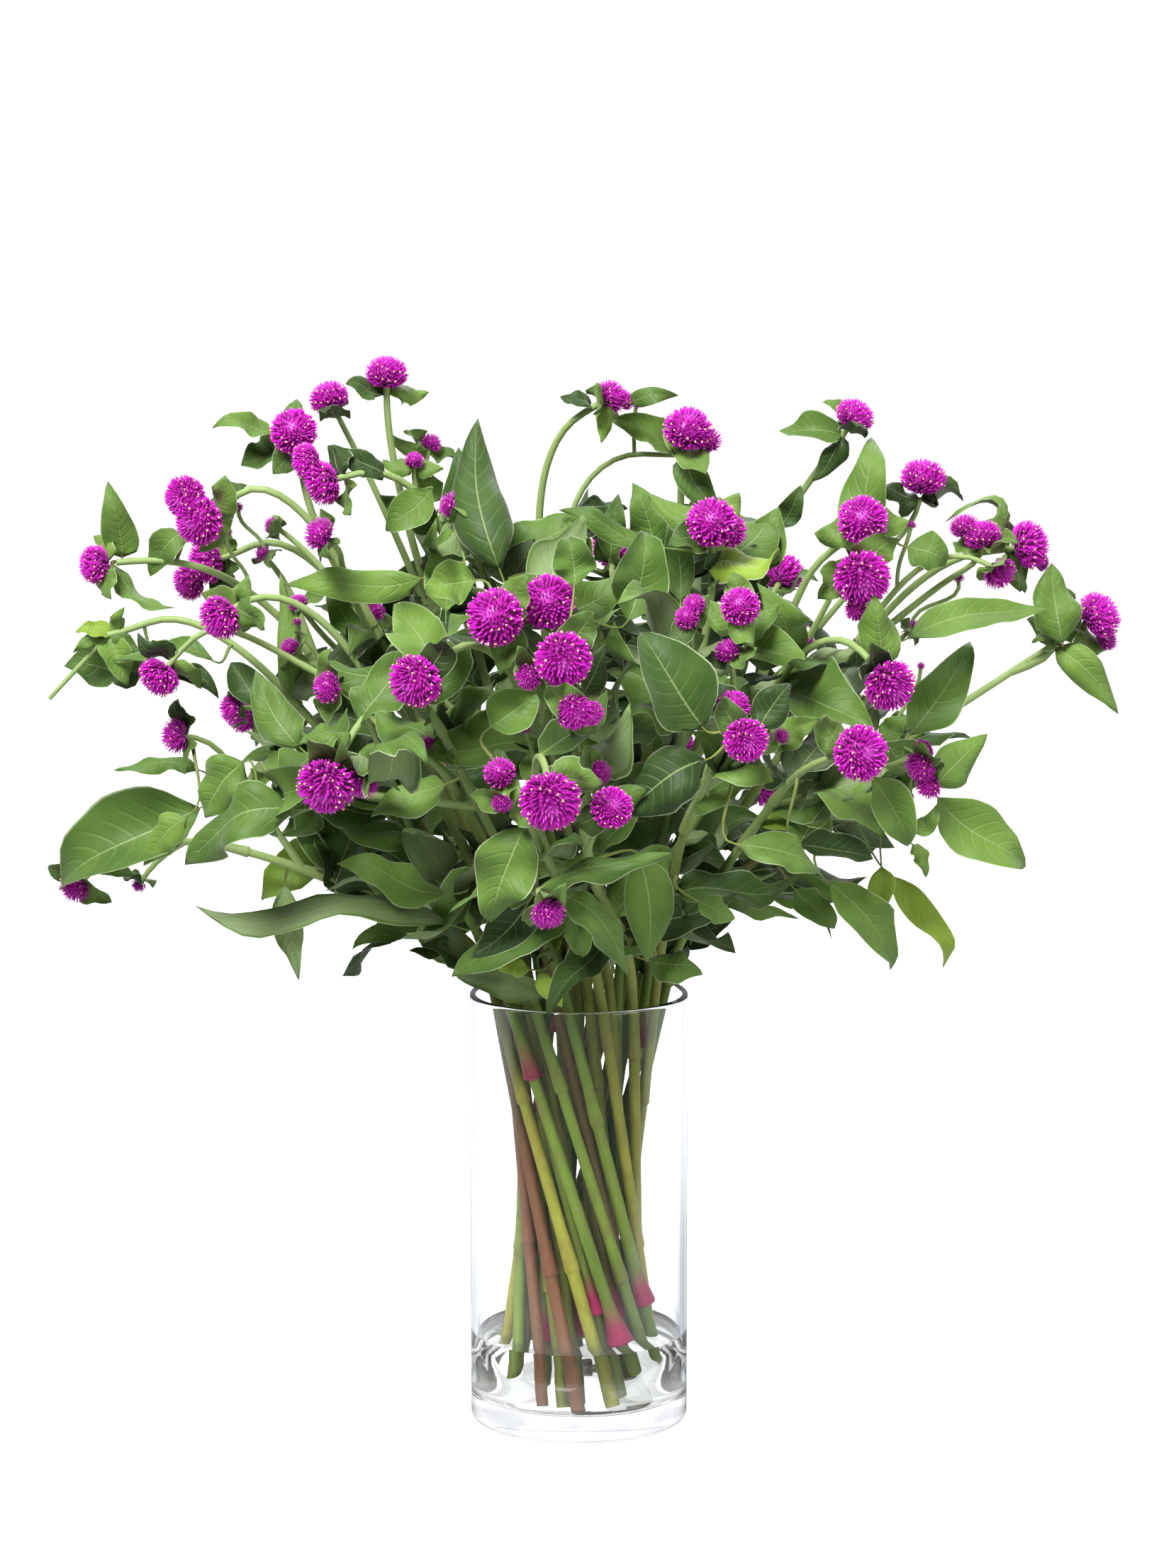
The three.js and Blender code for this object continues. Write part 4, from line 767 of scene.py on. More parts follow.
def feed(tree, sockets, given):
    for socket, value in zip(sockets, given):
        if isinstance(value, (int, float)):
            socket.default_value = value
        elif isinstance(value, tuple):
            socket.default_value = (*value, 1)
        else:
            link(tree, value, socket)


def mathNode(tree, operation, a, b=0.0, c=0.0, clamp=False):
    node = tree.nodes.new("ShaderNodeMath")
    node.operation = operation
    node.use_clamp = clamp
    feed(tree, node.inputs, (a, b, c))
    return node.outputs[0]


def mixColour(tree, share, a, b):
    node = tree.nodes.new("ShaderNodeMix")
    node.data_type = "RGBA"
    feed(tree, (node.inputs[0], node.inputs[6], node.inputs[7]), (share, a, b))
    return node.outputs[2]


def smoothStep(tree, value, low, high, first=0.0, last=1.0):
    node = tree.nodes.new("ShaderNodeMapRange")
    node.interpolation_type = "SMOOTHSTEP"
    feed(tree, node.inputs[:5], (value, low, high, first, last))
    return node.outputs[0]


def attribute(tree, name):
    node = tree.nodes.new("ShaderNodeAttribute")
    node.attribute_name = name
    return node.outputs["Fac"]


def placeOf(tree):
    place = tree.nodes.new("ShaderNodeTexCoord")
    parts = tree.nodes.new("ShaderNodeSeparateXYZ")
    link(tree, place.outputs["Object"], parts.inputs[0])
    return parts


# Soft uneven patches, or fibres when stretched. Every material has some.
def mottleGroup():
    inputs = [("Scale", "NodeSocketFloat"), ("Detail", "NodeSocketFloat"), ("Stretch", "NodeSocketVector")]
    group, into, out = newGroup("softMottle", inputs, [("Amount", "NodeSocketFloat")])
    place = group.nodes.new("ShaderNodeTexCoord")
    spread = group.nodes.new("ShaderNodeVectorMath")
    spread.operation = "MULTIPLY"
    link(group, place.outputs["Object"], spread.inputs[0])
    link(group, into.outputs["Stretch"], spread.inputs[1])
    pattern = group.nodes.new("ShaderNodeTexNoise")
    link(group, spread.outputs[0], pattern.inputs["Vector"])
    link(group, into.outputs["Scale"], pattern.inputs["Scale"])
    link(group, into.outputs["Detail"], pattern.inputs["Detail"])
    link(group, pattern.outputs["Fac"], out.inputs["Amount"])
    return group


softMottle = mottleGroup()


def mottle(tree, scale, detail=3.0, stretch=(1, 1, 1)):
    node = tree.nodes.new("ShaderNodeGroup")
    node.node_tree = softMottle
    node.inputs["Scale"].default_value = scale
    node.inputs["Detail"].default_value = detail
    node.inputs["Stretch"].default_value = stretch
    return node.outputs["Amount"]


def newMaterial(name, **values):
    material = bpy.data.materials.new(name)
    material.use_nodes = True
    shader = material.node_tree.nodes["Principled BSDF"]
    for label, value in values.items():
        shader.inputs[label.replace("_", " ")].default_value = value
    return material, material.node_tree, shader


def bump(tree, shader, height, strength, distance):
    node = tree.nodes.new("ShaderNodeBump")
    node.inputs["Strength"].default_value = strength
    node.inputs["Distance"].default_value = distance
    link(tree, height, node.inputs["Height"])
    link(tree, node.outputs[0], shader.inputs["Normal"])


# The pairs and fours below are the steps that a value passes between two colours: from, to, and the
# shares at the two where these aren't 0 and 1.
# A leaf's veins: across runs from -1 to 1 over its width, and along from 0 to 1 over its length
leafFinish = {"deep": (0.05, 0.116, 0.015), "light": (0.165, 0.288, 0.044), "under": (0.19, 0.25, 0.12),
              "youngAndBacklit": (0.25, 0.38, 0.03), "rib": (0.36, 0.46, 0.18), "hairsAndRimLight": (0.52, 0.6, 0.36),
              "shade": (0, 0.01, 0), "paintedShadeSpan": (0, 0.3, 0.68, 0), "youngAndBacklitFrom": (0.86, 1), "patches": 55,
              "patchShare": 0.8, "toneShare": (0.85, -0.32), "underShare": 0.6, "ribTaper": 0.6,
              "ribSpan": (0.01, 0.03, 1, 0), "ribShare": 0.5, "veins": 9, "veinCurve": 1.4, "veinLean": -0.22,
              "veinSpan": (0.02, 0.16, 1, 0), "veinFade": (0.5, 0.9, 1, 0.1), "veinShare": 0.07,
              "hairsAndRimLightSpan": (0.95, 0.985), "hairsAndRimLightShare": 0.7, "grain": 700, "roughness": 0.55}


def leafMaterial():
    look = leafFinish
    material, tree, shader = newMaterial("leafGreen", Roughness=look["roughness"], Specular_IOR_Level=0.3,
                                         Sheen_Weight=0.12)
    across, lengthwise = attribute(tree, "across"), attribute(tree, "along")
    under, tone = attribute(tree, "under"), attribute(tree, "tone")
    off = mathNode(tree, "ABSOLUTE", across)
    thin = mathNode(tree, "MULTIPLY_ADD", lengthwise, look["ribTaper"], 1 - look["ribTaper"])
    midrib = smoothStep(tree, mathNode(tree, "MULTIPLY", off, thin), *look["ribSpan"])
    curve = mathNode(tree, "POWER", off, look["veinCurve"])
    lean = mathNode(tree, "MULTIPLY_ADD", curve, look["veinLean"], lengthwise)
    step = mathNode(tree, "FRACT", mathNode(tree, "MULTIPLY", lean, look["veins"]))
    near = mathNode(tree, "ABSOLUTE", mathNode(tree, "SUBTRACT", step, 0.5))
    veins = mathNode(tree, "MULTIPLY", smoothStep(tree, near, *look["veinSpan"]),
                     smoothStep(tree, off, *look["veinFade"]))
    # The pale band along the edge is partly the hairs of the margin and partly painted rim light
    hairsAndRimLight = smoothStep(tree, off, *look["hairsAndRimLightSpan"])
    patches = mottle(tree, look["patches"], 4)
    grain = mottle(tree, look["grain"], 2)
    toned = mathNode(tree, "MULTIPLY_ADD", tone, *look["toneShare"])
    mixed = mathNode(tree, "MULTIPLY_ADD", patches, look["patchShare"], toned, clamp=True)
    upper = mixColour(tree, mixed, look["deep"], look["light"])
    # Leaves of the highest tones turn yellow-green: partly young leaves, partly a painted glow of leaves lit
    # from behind
    fresh = mixColour(tree, smoothStep(tree, tone, *look["youngAndBacklitFrom"]), upper, look["youngAndBacklit"])
    lower = mixColour(tree, mathNode(tree, "MULTIPLY", patches, look["underShare"]), look["under"],
                      look["light"])
    skin = mixColour(tree, smoothStep(tree, under, 0.3, 0.7), fresh, lower)
    # Leaves of low tone are mixed towards near-black: painted shade, mostly on the fill leaves far back,
    # whose tone falls with depth
    skin = mixColour(tree, smoothStep(tree, tone, *look["paintedShadeSpan"]), skin, look["shade"])
    veined = mixColour(tree, mathNode(tree, "MULTIPLY", veins, look["veinShare"]), skin, look["rib"])
    ribbed = mixColour(tree, mathNode(tree, "MULTIPLY", midrib, look["ribShare"]), veined, look["rib"])
    edged = mixColour(tree, mathNode(tree, "MULTIPLY", hairsAndRimLight, look["hairsAndRimLightShare"]), ribbed, look["hairsAndRimLight"])
    link(tree, edged, shader.inputs["Base Color"])
    link(tree, mathNode(tree, "MULTIPLY_ADD", patches, 0.2, look["roughness"] - 0.1),
         shader.inputs["Roughness"])
    quilted = mathNode(tree, "MULTIPLY_ADD", grain, 0.3, mathNode(tree, "MULTIPLY", veins, -0.6))
    bump(tree, shader, mathNode(tree, "SUBTRACT", quilted, midrib), 0.7, 0.0004)
    return material


# A stalk changes colour from its foot to its head, and some are browner. Its dark colour draws fibres, and as
# painted shade it darkens patches and the stretch around the vase's rim, under the foliage. Blush marks its
# joints.
stalkFinish = {"pale": (0.34, 0.47, 0.16), "fresh": (0.26, 0.4, 0.045), "olive": (0.5, 0.5, 0.06),
               "brown": (0.29, 0.11, 0.055), "shade": (0.06, 0.11, 0.02), "blush": (0.36, 0.001, 0.08),
               "ring": (0.62, 0.5, 0.26), "oliveFrom": (0.3, 0.5), "brownFrom": (0.62, 0.85),
               "stains": 70, "stained": (0.45, 0.7, 0, 0.3), "paintedShadePatches": 26, "paintedShadeSpan": (0.48, 0.62, 0, 0.5),
               "paintedShadeNearRim": (0.3, 0.48, 0, 0.55), "paleFrom": (0.4, 0.92), "blushFrom": (0.05, 0.9),
               "ringFrom": (1.1, 1.4), "fibres": 900, "fibreShare": 0.35, "roughness": 0.42}


def stalkMaterial():
    look = stalkFinish
    material, tree, shader = newMaterial("stalkGreen", Roughness=look["roughness"], Specular_IOR_Level=0.3,
                                         Sheen_Weight=0.08)
    height, tone, blush = attribute(tree, "along"), attribute(tree, "tone"), attribute(tree, "blush")
    fibres = mottle(tree, look["fibres"], 2, (1, 1, 0.06))
    stains = mottle(tree, look["stains"], 3)
    skin = mixColour(tree, smoothStep(tree, tone, *look["oliveFrom"]), look["fresh"], look["olive"])
    skin = mixColour(tree, smoothStep(tree, tone, *look["brownFrom"]), skin, look["brown"])
    skin = mixColour(tree, smoothStep(tree, stains, *look["stained"]), skin, look["brown"])
    # Dark patches on the stalks are painted shade, for the shade between the stems
    paintedShadePatches = mottle(tree, look["paintedShadePatches"], 3, (1, 1, 0.3))
    skin = mixColour(tree, smoothStep(tree, paintedShadePatches, *look["paintedShadeSpan"]), skin, look["shade"])
    # Darker from the upper part of the vase to above the rim: painted shade under the foliage
    skin = mixColour(tree, smoothStep(tree, height, *look["paintedShadeNearRim"]), skin, look["shade"])
    skin = mixColour(tree, smoothStep(tree, height, *look["paleFrom"]), skin, look["pale"])
    skin = mixColour(tree, mathNode(tree, "MULTIPLY", fibres, look["fibreShare"]), skin, look["shade"])
    skin = mixColour(tree, smoothStep(tree, blush, *look["blushFrom"]), skin, look["blush"])
    skin = mixColour(tree, smoothStep(tree, blush, *look["ringFrom"]), skin, look["ring"])
    link(tree, skin, shader.inputs["Base Color"])
    link(tree, mathNode(tree, "MULTIPLY_ADD", fibres, 0.25, 0.38), shader.inputs["Roughness"])
    bump(tree, shader, fibres, 0.3, 0.0004)
    return material


# Lift runs from 0 at a bract's foot to 1 at its tip. Crown is 1 at the top of the head.
bractFinish = {"deep": (0.36, 0.001, 0.28), "bright": (0.82, 0.006, 0.7), "tip": (0.95, 0.08, 0.9),
               "crown": (0.95, 0.16, 0.9), "brightFrom": (0.3, 0.85), "tipFrom": (0.75, 1),
               "crownFrom": (0.9, 0.99), "crownShare": 0.45, "streaks": 900, "streakShare": 0.2}


def bractMaterial():
    look = bractFinish
    material, tree, shader = newMaterial("magentaBracts", Specular_IOR_Level=0.3, Sheen_Weight=0.15)
    lift, crown, tone = attribute(tree, "lift"), attribute(tree, "crown"), attribute(tree, "tone")
    skin = mixColour(tree, smoothStep(tree, lift, *look["brightFrom"]), look["deep"], look["bright"])
    tips = mathNode(tree, "MULTIPLY", smoothStep(tree, lift, *look["tipFrom"]), tone)
    skin = mixColour(tree, tips, skin, look["tip"])
    top = mathNode(tree, "MULTIPLY", smoothStep(tree, crown, *look["crownFrom"]), look["crownShare"])
    skin = mixColour(tree, top, skin, look["crown"])
    streaks = mathNode(tree, "MULTIPLY", mottle(tree, look["streaks"], 2), look["streakShare"])
    link(tree, mixColour(tree, streaks, skin, look["deep"]), shader.inputs["Base Color"])
    link(tree, mathNode(tree, "MULTIPLY_ADD", tone, 0.2, 0.38), shader.inputs["Roughness"])
    return material


floretFinish = {"rose": (0.95, 0.45, 0.4), "cream": (1.0, 0.72, 0.45), "grain": 1500, "roughness": 0.5}


def floretMaterial():
    look = floretFinish
    material, tree, shader = newMaterial("creamFlorets", Roughness=look["roughness"])
    link(tree, mixColour(tree, mottle(tree, look["grain"], 1), look["rose"], look["cream"]),
         shader.inputs["Base Color"])
    return material


# Glass and water are slightly uneven. Swirls of tint low in the glass, and faintly in the water, are painted
# reflections.
clearLooks = {
    "glass": {"name": "clearGlass", "refraction": 1.5, "tint": (0.99, 0.995, 0.995),
              "paintedSwirl": (0.68, 0.7, 0.77), "scale": 26, "stretch": (1, 1, 0.4)},
    "water": {"name": "clearWater", "refraction": 1.33, "tint": (0.985, 0.995, 0.98),
              "paintedSwirl": (0.98, 0.99, 0.98), "scale": 40, "stretch": (1, 1, 1)},
}
paintedSwirlAndBump = {"scale": 42, "stretch": (1, 1, 3), "span": (0.42, 0.66), "low": (0.006, 0.016, 1, 0),
             "bump": 0.04}


def clearMaterial(name, refraction, tint, paintedSwirl, scale, stretch):
    material, tree, shader = newMaterial(name, Roughness=0.0, IOR=refraction, Transmission_Weight=1.0)
    height = placeOf(tree).outputs["Z"]
    paintedSwirlMask = smoothStep(tree, mottle(tree, paintedSwirlAndBump["scale"], 5, paintedSwirlAndBump["stretch"]), *paintedSwirlAndBump["span"])
    low = smoothStep(tree, height, *paintedSwirlAndBump["low"])
    # The tint of the swirls is a painted reflection
    paintedSwirlShare = mathNode(tree, "MULTIPLY", paintedSwirlMask, low)
    link(tree, mixColour(tree, paintedSwirlShare, tint, paintedSwirl), shader.inputs["Base Color"])
    bump(tree, shader, mottle(tree, scale, 2, stretch), paintedSwirlAndBump["bump"], 0.001)
    return material


looks = {"leaf": leafMaterial(), "stalk": stalkMaterial(), "bract": bractMaterial(),
         "floret": floretMaterial(), "glass": clearMaterial(**clearLooks["glass"]),
         "water": clearMaterial(**clearLooks["water"])}
print("materials made")


# Pieces are built in millimetres in a bmesh with these values at each corner
values = ("across", "along", "under", "tone", "blush", "lift", "crown")


def newShape():
    shape = bmesh.new()
    for name in values:
        shape.verts.layers.float.new(name)
    return shape


def finish(shape, name, materials, nodes, used):
    bmesh.ops.scale(shape, vec=(mm, mm, mm), verts=shape.verts)
    for spare in set(values) - set(used):
        shape.verts.layers.float.remove(shape.verts.layers.float[spare])
    for face in shape.faces:
        face.smooth = True
    mesh = bpy.data.meshes.new(name)
    shape.to_mesh(mesh)
    shape.free()
    for material in materials:
        mesh.materials.append(looks[material])
    piece = bpy.data.objects.new(name, mesh)
    bpy.context.scene.collection.objects.link(piece)
    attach(piece, "root")
    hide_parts(*nodes)
    return piece


def closeUp(shape, verts, reach=0.01):
    bmesh.ops.remove_doubles(shape, verts=[v for v in verts if v.is_valid], dist=reach)
    faces = {face for v in verts if v.is_valid for face in v.link_faces}
    bmesh.ops.recalc_face_normals(shape, faces=list(faces))
    return faces


# A stalk: a sheet of quads wrapped round its line, closed at both ends
def addTube(shape, line, radii, sides, tone, height, blush=None, material=0):
    rows = len(line) + 1
    grid = bmesh.ops.create_grid(shape, x_segments=sides, y_segments=rows, size=1)
    ways = [(line[min(k + 1, len(line) - 1)] - line[max(k - 1, 0)]).normalized() for k in range(len(line))]
    across = ways[0].orthogonal().normalized()
    rings = []
    for point, way, radius in zip(line, ways, radii):
        across = (across - way * across.dot(way)).normalized()
        rings.append((point, across, way.cross(across), radius))
    rings = [(*rings[0][:3], 0), *rings, (*rings[-1][:3], 0)]
    layers = {name: shape.verts.layers.float[name] for name in ("along", "tone", "blush")}
    ends = set()
    for v in grid["verts"]:
        row = round((v.co.y + 1) / 2 * rows)
        turn = math.pi * (v.co.x + 1)
        point, a, b, radius = rings[row]
        v.co = point + (a * math.cos(turn) + b * math.sin(turn)) * radius
        step = min(max(row - 1, 0), len(line) - 1)
        v[layers["along"]] = height[step]
        v[layers["tone"]] = tone
        v[layers["blush"]] = blush[step] if blush else 0
        if row in (0, 1, rows - 1, rows):
            ends.add(v)
    for face in closeUp(shape, grid["verts"]):
        face.material_index = material
    for v in ends:
        if v.is_valid and len(v.link_edges) == 4:
            for edge in v.link_edges:
                edge.smooth = edge.other_vert(v) not in ends or len(edge.other_vert(v).link_edges) != 4


# A leaf: two sheets that meet at its edge. Each leaf draws its own fold, rolled margin, waves and bends.
leafLook = {"columns": 7, "rows": 15, "rib": 1.0, "edge": 0.26, "ribWide": 1.3, "valley": 1.35,
            "fold": (0.05, 0.65), "roll": (-0.3, 0.8), "wave": (0.12, 0.5), "waves": (7, 15),
            "ripple": (0.03, 0.11), "ripples": 23, "scallop": (0.0, 0.08), "narrowed": 0.15,
            "bend": (-0.15, 0.13), "sway": (-0.1, 0.1), "droop": (0, 0.3), "droopFrom": 0.6,
            "twist": (-1.2, 1.2), "level": 0.4, "taper": 0.16, "blunt": 0.4, "atEdge": 0.999,
            "petiole": (1.0, 0.3), "petioleGreen": 0.55, "petioleSides": 6, "petioleSteps": 7,
            "petioleBends": (0.4, 0.35), "intoRow": 2, "lift": 0.06, "farFoot": 14, "farCost": (2, 0.6, 1.6)}
bractLook = {"swell": 0.62, "power": 0.8, "taper": 0.07, "columns": 6, "rows": 11}


def bladeLine(leaf, foot, rows):
    seed = leaf["seed"] * 1.618
    axis = leaf["tip"] - foot
    long = axis.length
    axis.normalize()
    up = (leaf["up"] - axis * leaf["up"].dot(axis)).normalized()
    across = axis.cross(up)
    bend, sway, droop, twist = (pick(leafLook[key], seed + n + 1) * leaf["loose"] for n, key in
                                enumerate(("bend", "sway", "droop", "twist")))
    bend, sway, droop = bend * long, sway * long, droop * long
    droopFrom = leafLook["droopFrom"]
    places = []
    for k in range(rows + 1):
        t = k / rows
        arch = 4 * t * (1 - t)
        places.append(foot + axis * (long * t) + across * (sway * arch)
                      + up * (leaf["bow"] * long * arch + bend * math.sin(2 * math.pi * t)
                              - droop * max(0, (t - droopFrom) / (1 - droopFrom)) ** 2))
    rib = []
    for k, place in enumerate(places):
        way = (places[min(k + 1, rows)] - places[max(k - 1, 0)]).normalized()
        level = (across - way * across.dot(way)).normalized()
        side = Quaternion(way, twist * (k / rows - leafLook["level"])) @ level
        rib.append((place, side, side.cross(way), k / rows))
    return rib


def addLeaf(shape, leaf, foot, material=1):
    small = leaf["kind"] == "bract"
    look = {**leafLook, **leafShape, **(bractLook if small else {})}
    columns, rows, seed = look["columns"], look["rows"], leaf["seed"] * 2.414
    fold, roll, wave, waves, ripple = (pick(look[key], seed + n) for n, key in
                                       enumerate(("fold", "roll", "wave", "waves", "ripple")))
    lag = draw(seed + 9) * math.pi
    scallop = pick(look["scallop"], seed + 10)
    rib = bladeLine(leaf, foot, rows)
    grid = bmesh.ops.create_grid(shape, x_segments=2 * columns, y_segments=rows, size=1)
    # Both sheets are cut along the same diagonals, so that neither shows through the other
    faces = {face for v in grid["verts"] for face in v.link_faces}
    over = {face for face in faces if face.calc_center_median().x < 0}
    bmesh.ops.triangulate(shape, faces=list(over), quad_method="FIXED")
    bmesh.ops.triangulate(shape, faces=list(faces - over), quad_method="ALTERNATE")
    layers = {name: shape.verts.layers.float[name] for name in ("across", "along", "under", "tone")}
    halves = [leaf["wide"] / 2 * math.sin(math.pi * t ** look["swell"]) ** look["power"]
              * min(1, t / look["taper"] + 0.001) ** look["blunt"] if 0 < t < 1 else 0 for *_, t in rib]
    for v in grid["verts"]:
        row = round((v.co.y + 1) / 2 * rows)
        face = 1 if v.co.x < 0 else -1
        u = 1 - 2 * abs(v.co.x)
        place, side, top, t = rib[row]
        half = halves[row]
        edge = abs(u)
        phase = leaf["phase"] + (lag if u > 0 else 0)
        rise = fold * edge ** look["valley"] - roll * edge ** 4 + wave * math.sin(waves * t + phase) * edge
        rise += ripple * math.sin(look["ripples"] * t + phase * 2) * edge ** 2
        thick = look["edge"] + (look["rib"] - look["edge"]) * math.exp(-(edge * half / look["ribWide"]) ** 2)
        if edge > look["atEdge"] or half == 0:
            thick = 0
        scalloped = scallop * math.sin(waves * t + 3 * phase) * edge
        reach = u * half * (1 - look["narrowed"] * roll * edge ** 3 + scalloped)
        v.co = place + side * reach + top * (rise * half + face * thick / 2)
        v[layers["across"]] = u
        v[layers["along"]] = t
        v[layers["under"]] = 0 if edge > look["atEdge"] or face > 0 else 1
        v[layers["tone"]] = leaf["tone"]
    for face in closeUp(shape, grid["verts"]):
        face.material_index = material
        for border in face.edges:
            if all(abs(v[layers["across"]]) > look["atEdge"] for v in border.verts):
                border.smooth = False


def bezier(a, b, c, d, count):
    steps = [k / count for k in range(count + 1)]
    return [a * (1 - t) ** 3 + b * 3 * t * (1 - t) ** 2 + c * 3 * t * t * (1 - t) + d * t ** 3 for t in steps]


def addPetiole(shape, leaf, root, foot, tone):
    rib = bladeLine(leaf, foot, leafLook["rows"])
    into = rib[leafLook["intoRow"]][0]
    far = (foot - root).length
    if far > 1:
        way = (rib[1][0] - foot).normalized()
        first, last = leafLook["petioleBends"]
        line = bezier(root, root.lerp(foot, first) + Vector((0, 0, far * leafLook["lift"])),
                      foot - way * far * last, foot, leafLook["petioleSteps"]) + [into]
    else:
        line = [root, root.lerp(into, 0.5), into]
    first, last = leafLook["petiole"]
    radii = [first + (last - first) * (k / (len(line) - 1)) for k in range(len(line))]
    addTube(shape, line, radii, leafLook["petioleSides"], tone, [leafLook["petioleGreen"]] * len(line))


# A stalk's joints swell: steeply below and tapering upwards, as a cone
stalkLook = {"step": 6.5, "stepInVase": 22, "apart": 0.6, "sides": 10, "sideSides": 7, "sideHeight": 0.9,
             "offsets": (-4, -1.4, -0.7, 0, 0.9, 2.5, 5, 9, 14, 20), "rise": 21, "risePower": 1.5,
             "drop": 0.8, "dropShare": 0.25, "ring": (0.3, 1.1), "ringBlush": 1.5,
             "cutSide": 24, "cutAcross": 44, "cutBack": 14, "cutBackFrom": -14,
             "footShare": (1.08, 1.36), "rimShare": 1.14, "fullLong": 380, "within": 34, "shadeFrom": 0.45,
             "innerFrom": 30, "innerShare": 0.81, "innerTurn": 11.25, "innerPast": 58,
             "strong": 0.95, "plain": 0.3, "strongShares": (0.5, 0.2), "lowNode": (26, 78),
             "highNode": (118, 205), "pairSwell": 1.4, "blushes": (1, 0.7), "plainBlush": 0.2,
             "pairBlush": 0.15, "ringFrom": 0.5, "blushRise": 15, "blushDrop": 1.6, "blushBelow": 0.6,
             "intoHead": 0.3, "smoothStep": 3, "smoothRounds": 16}


def jointsOf(stalk, seed, total):
    joints = []
    if stalk["main"]:
        for n, (low, high) in enumerate((stalkLook["lowNode"], stalkLook["highNode"])):
            strong = draw(seed + n * 0.37) < stalkLook["strongShares"][n]
            size = stalkLook["strong" if strong else "plain"] * (0.8 + 0.4 * draw(seed + n + 0.1))
            blush = stalkLook["blushes"][n] if strong else stalkLook["plainBlush"]
            joints.append((low + (high - low) * draw(seed + n * 1.7), size, blush))
        lower = (stalk["line"][1] - stalk["line"][0]).length
        size = stalkLook["plain"] * stalkLook["pairSwell"]
        joints += [(lower + (total - lower) * share, size, stalkLook["pairBlush"]) for share in pairs["at"]]
    return joints


def swelling(joints, s):
    swell, blush = 0, 0
    for at, size, red in joints:
        q = s - at
        if q >= 0:
            swell += size * max(0, 1 - q / stalkLook["rise"]) ** stalkLook["risePower"]
            blush += red * math.exp(-(q / stalkLook["blushRise"]) ** 2)
        else:
            swell += stalkLook["dropShare"] * size * math.exp(q / stalkLook["drop"])
            blush += stalkLook["blushBelow"] * red * math.exp(q / stalkLook["blushDrop"])
            if red > stalkLook["ringFrom"] and stalkLook["ring"][0] < -q < stalkLook["ring"][1]:
                return 1 + swell, stalkLook["ringBlush"]
    return 1 + swell, min(blush, 1)


# How far above the vase's floor a stem is cut. The outer and the rear ones are shorter.
def cutHeight(foot, seed):
    side = stalkLook["cutSide"] * (foot.x / stalkLook["cutAcross"]) ** 2 * (0.6 + 0.8 * draw(seed + 5))
    return side + stalkLook["cutBack"] * draw(seed + 6) * (foot.y > stalkLook["cutBackFrom"])


def relaxed(line, step, rounds):
    total = sum((b - a).length for a, b in zip(line, line[1:]))
    count = max(4, round(total / step))
    points = [along(line, k / count)[0] for k in range(count + 1)]
    for _ in range(rounds):
        inner = [a.lerp(c, 0.5).lerp(b, 0.4) for a, b, c in zip(points, points[1:], points[2:])]
        points = [points[0], *inner, points[-1]]
    return points


def smoothLine(stalk, start=None):
    control = list(stalk["control"])
    control.append(stalk["centre"] - stalk["way"] * (stalk["tip"]["d"] / 2 * stalkLook["intoHead"]))
    if start:
        control[0] = start
    line = relaxed(rounded(control, 3), stalkLook["smoothStep"], stalkLook["smoothRounds"])
    return [stalk["foot"], *line] if stalk["main"] else line


def stalkMarks(stalk, total, joints):
    inVase = (stalk["line"][1] - stalk["line"][0]).length if stalk["main"] else 0
    marks = [k * stalkLook["stepInVase"] for k in range(int(inVase / stalkLook["stepInVase"]) + 1)]
    count = max(3, int((total - inVase) / stalkLook["step"]))
    marks += [inVase + (total - inVase) * k / count for k in range(count + 1)]
    marks += [at + offset for at, *_ in joints for offset in stalkLook["offsets"]]
    kept = []
    for mark in sorted(m for m in marks if 0 <= m <= total):
        if not kept or mark - kept[-1] > stalkLook["apart"]:
            kept.append(mark)
    return kept


def addStalk(shape, stalk, seed):
    within = stalk["main"] and math.hypot(stalk["foot"].x, stalk["foot"].y) < stalkLook["within"]
    whole = stalk["smooth"]
    total = sum((b - a).length for a, b in zip(whole, whole[1:]))
    joints = jointsOf(stalk, seed, total)
    cut = cutHeight(stalk["foot"], seed) if stalk["main"] else 0
    marks = [cut] + [mark for mark in stalkMarks(stalk, total, joints) if mark > cut + stalkLook["apart"]]
    line = [along(whole, mark / total)[0] for mark in marks]
    lower = (stalk["line"][1] - stalk["line"][0]).length if stalk["main"] else 0
    share = 1 if stalk["main"] else stemRadius["sideShare"]
    thick = stemRadius["foot"] * pick(stalkLook["footShare"], seed + 8)
    radii, blushes = [], []
    for mark in marks:
        if mark < lower:
            radius = thick + (stemRadius["rim"] * stalkLook["rimShare"] - thick) * mark / lower
        else:
            rest = (mark - lower) / (total - lower)
            wide = 1 + (stalkLook["rimShare"] - 1) * (1 - rest)
            radius = (stemRadius["rim"] + (stemRadius["tip"] - stemRadius["rim"]) * rest) * share * wide
        swell, blush = swelling(joints, mark)
        radii.append(radius * swell)
        blushes.append(blush)
    full = max(total, stalkLook["fullLong"])
    height = [mark / full if stalk["main"] else stalkLook["sideHeight"] for mark in marks]
    # Stalks whose foot stands near the vase's axis are darkened all along with painted shade
    if within:
        height = [max(share, stalkLook["shadeFrom"]) for share in height]
    sides = stalkLook["sides"] if stalk["main"] else stalkLook["sideSides"]
    addTube(shape, line, radii, sides, draw(seed * 3.7), height, blushes)


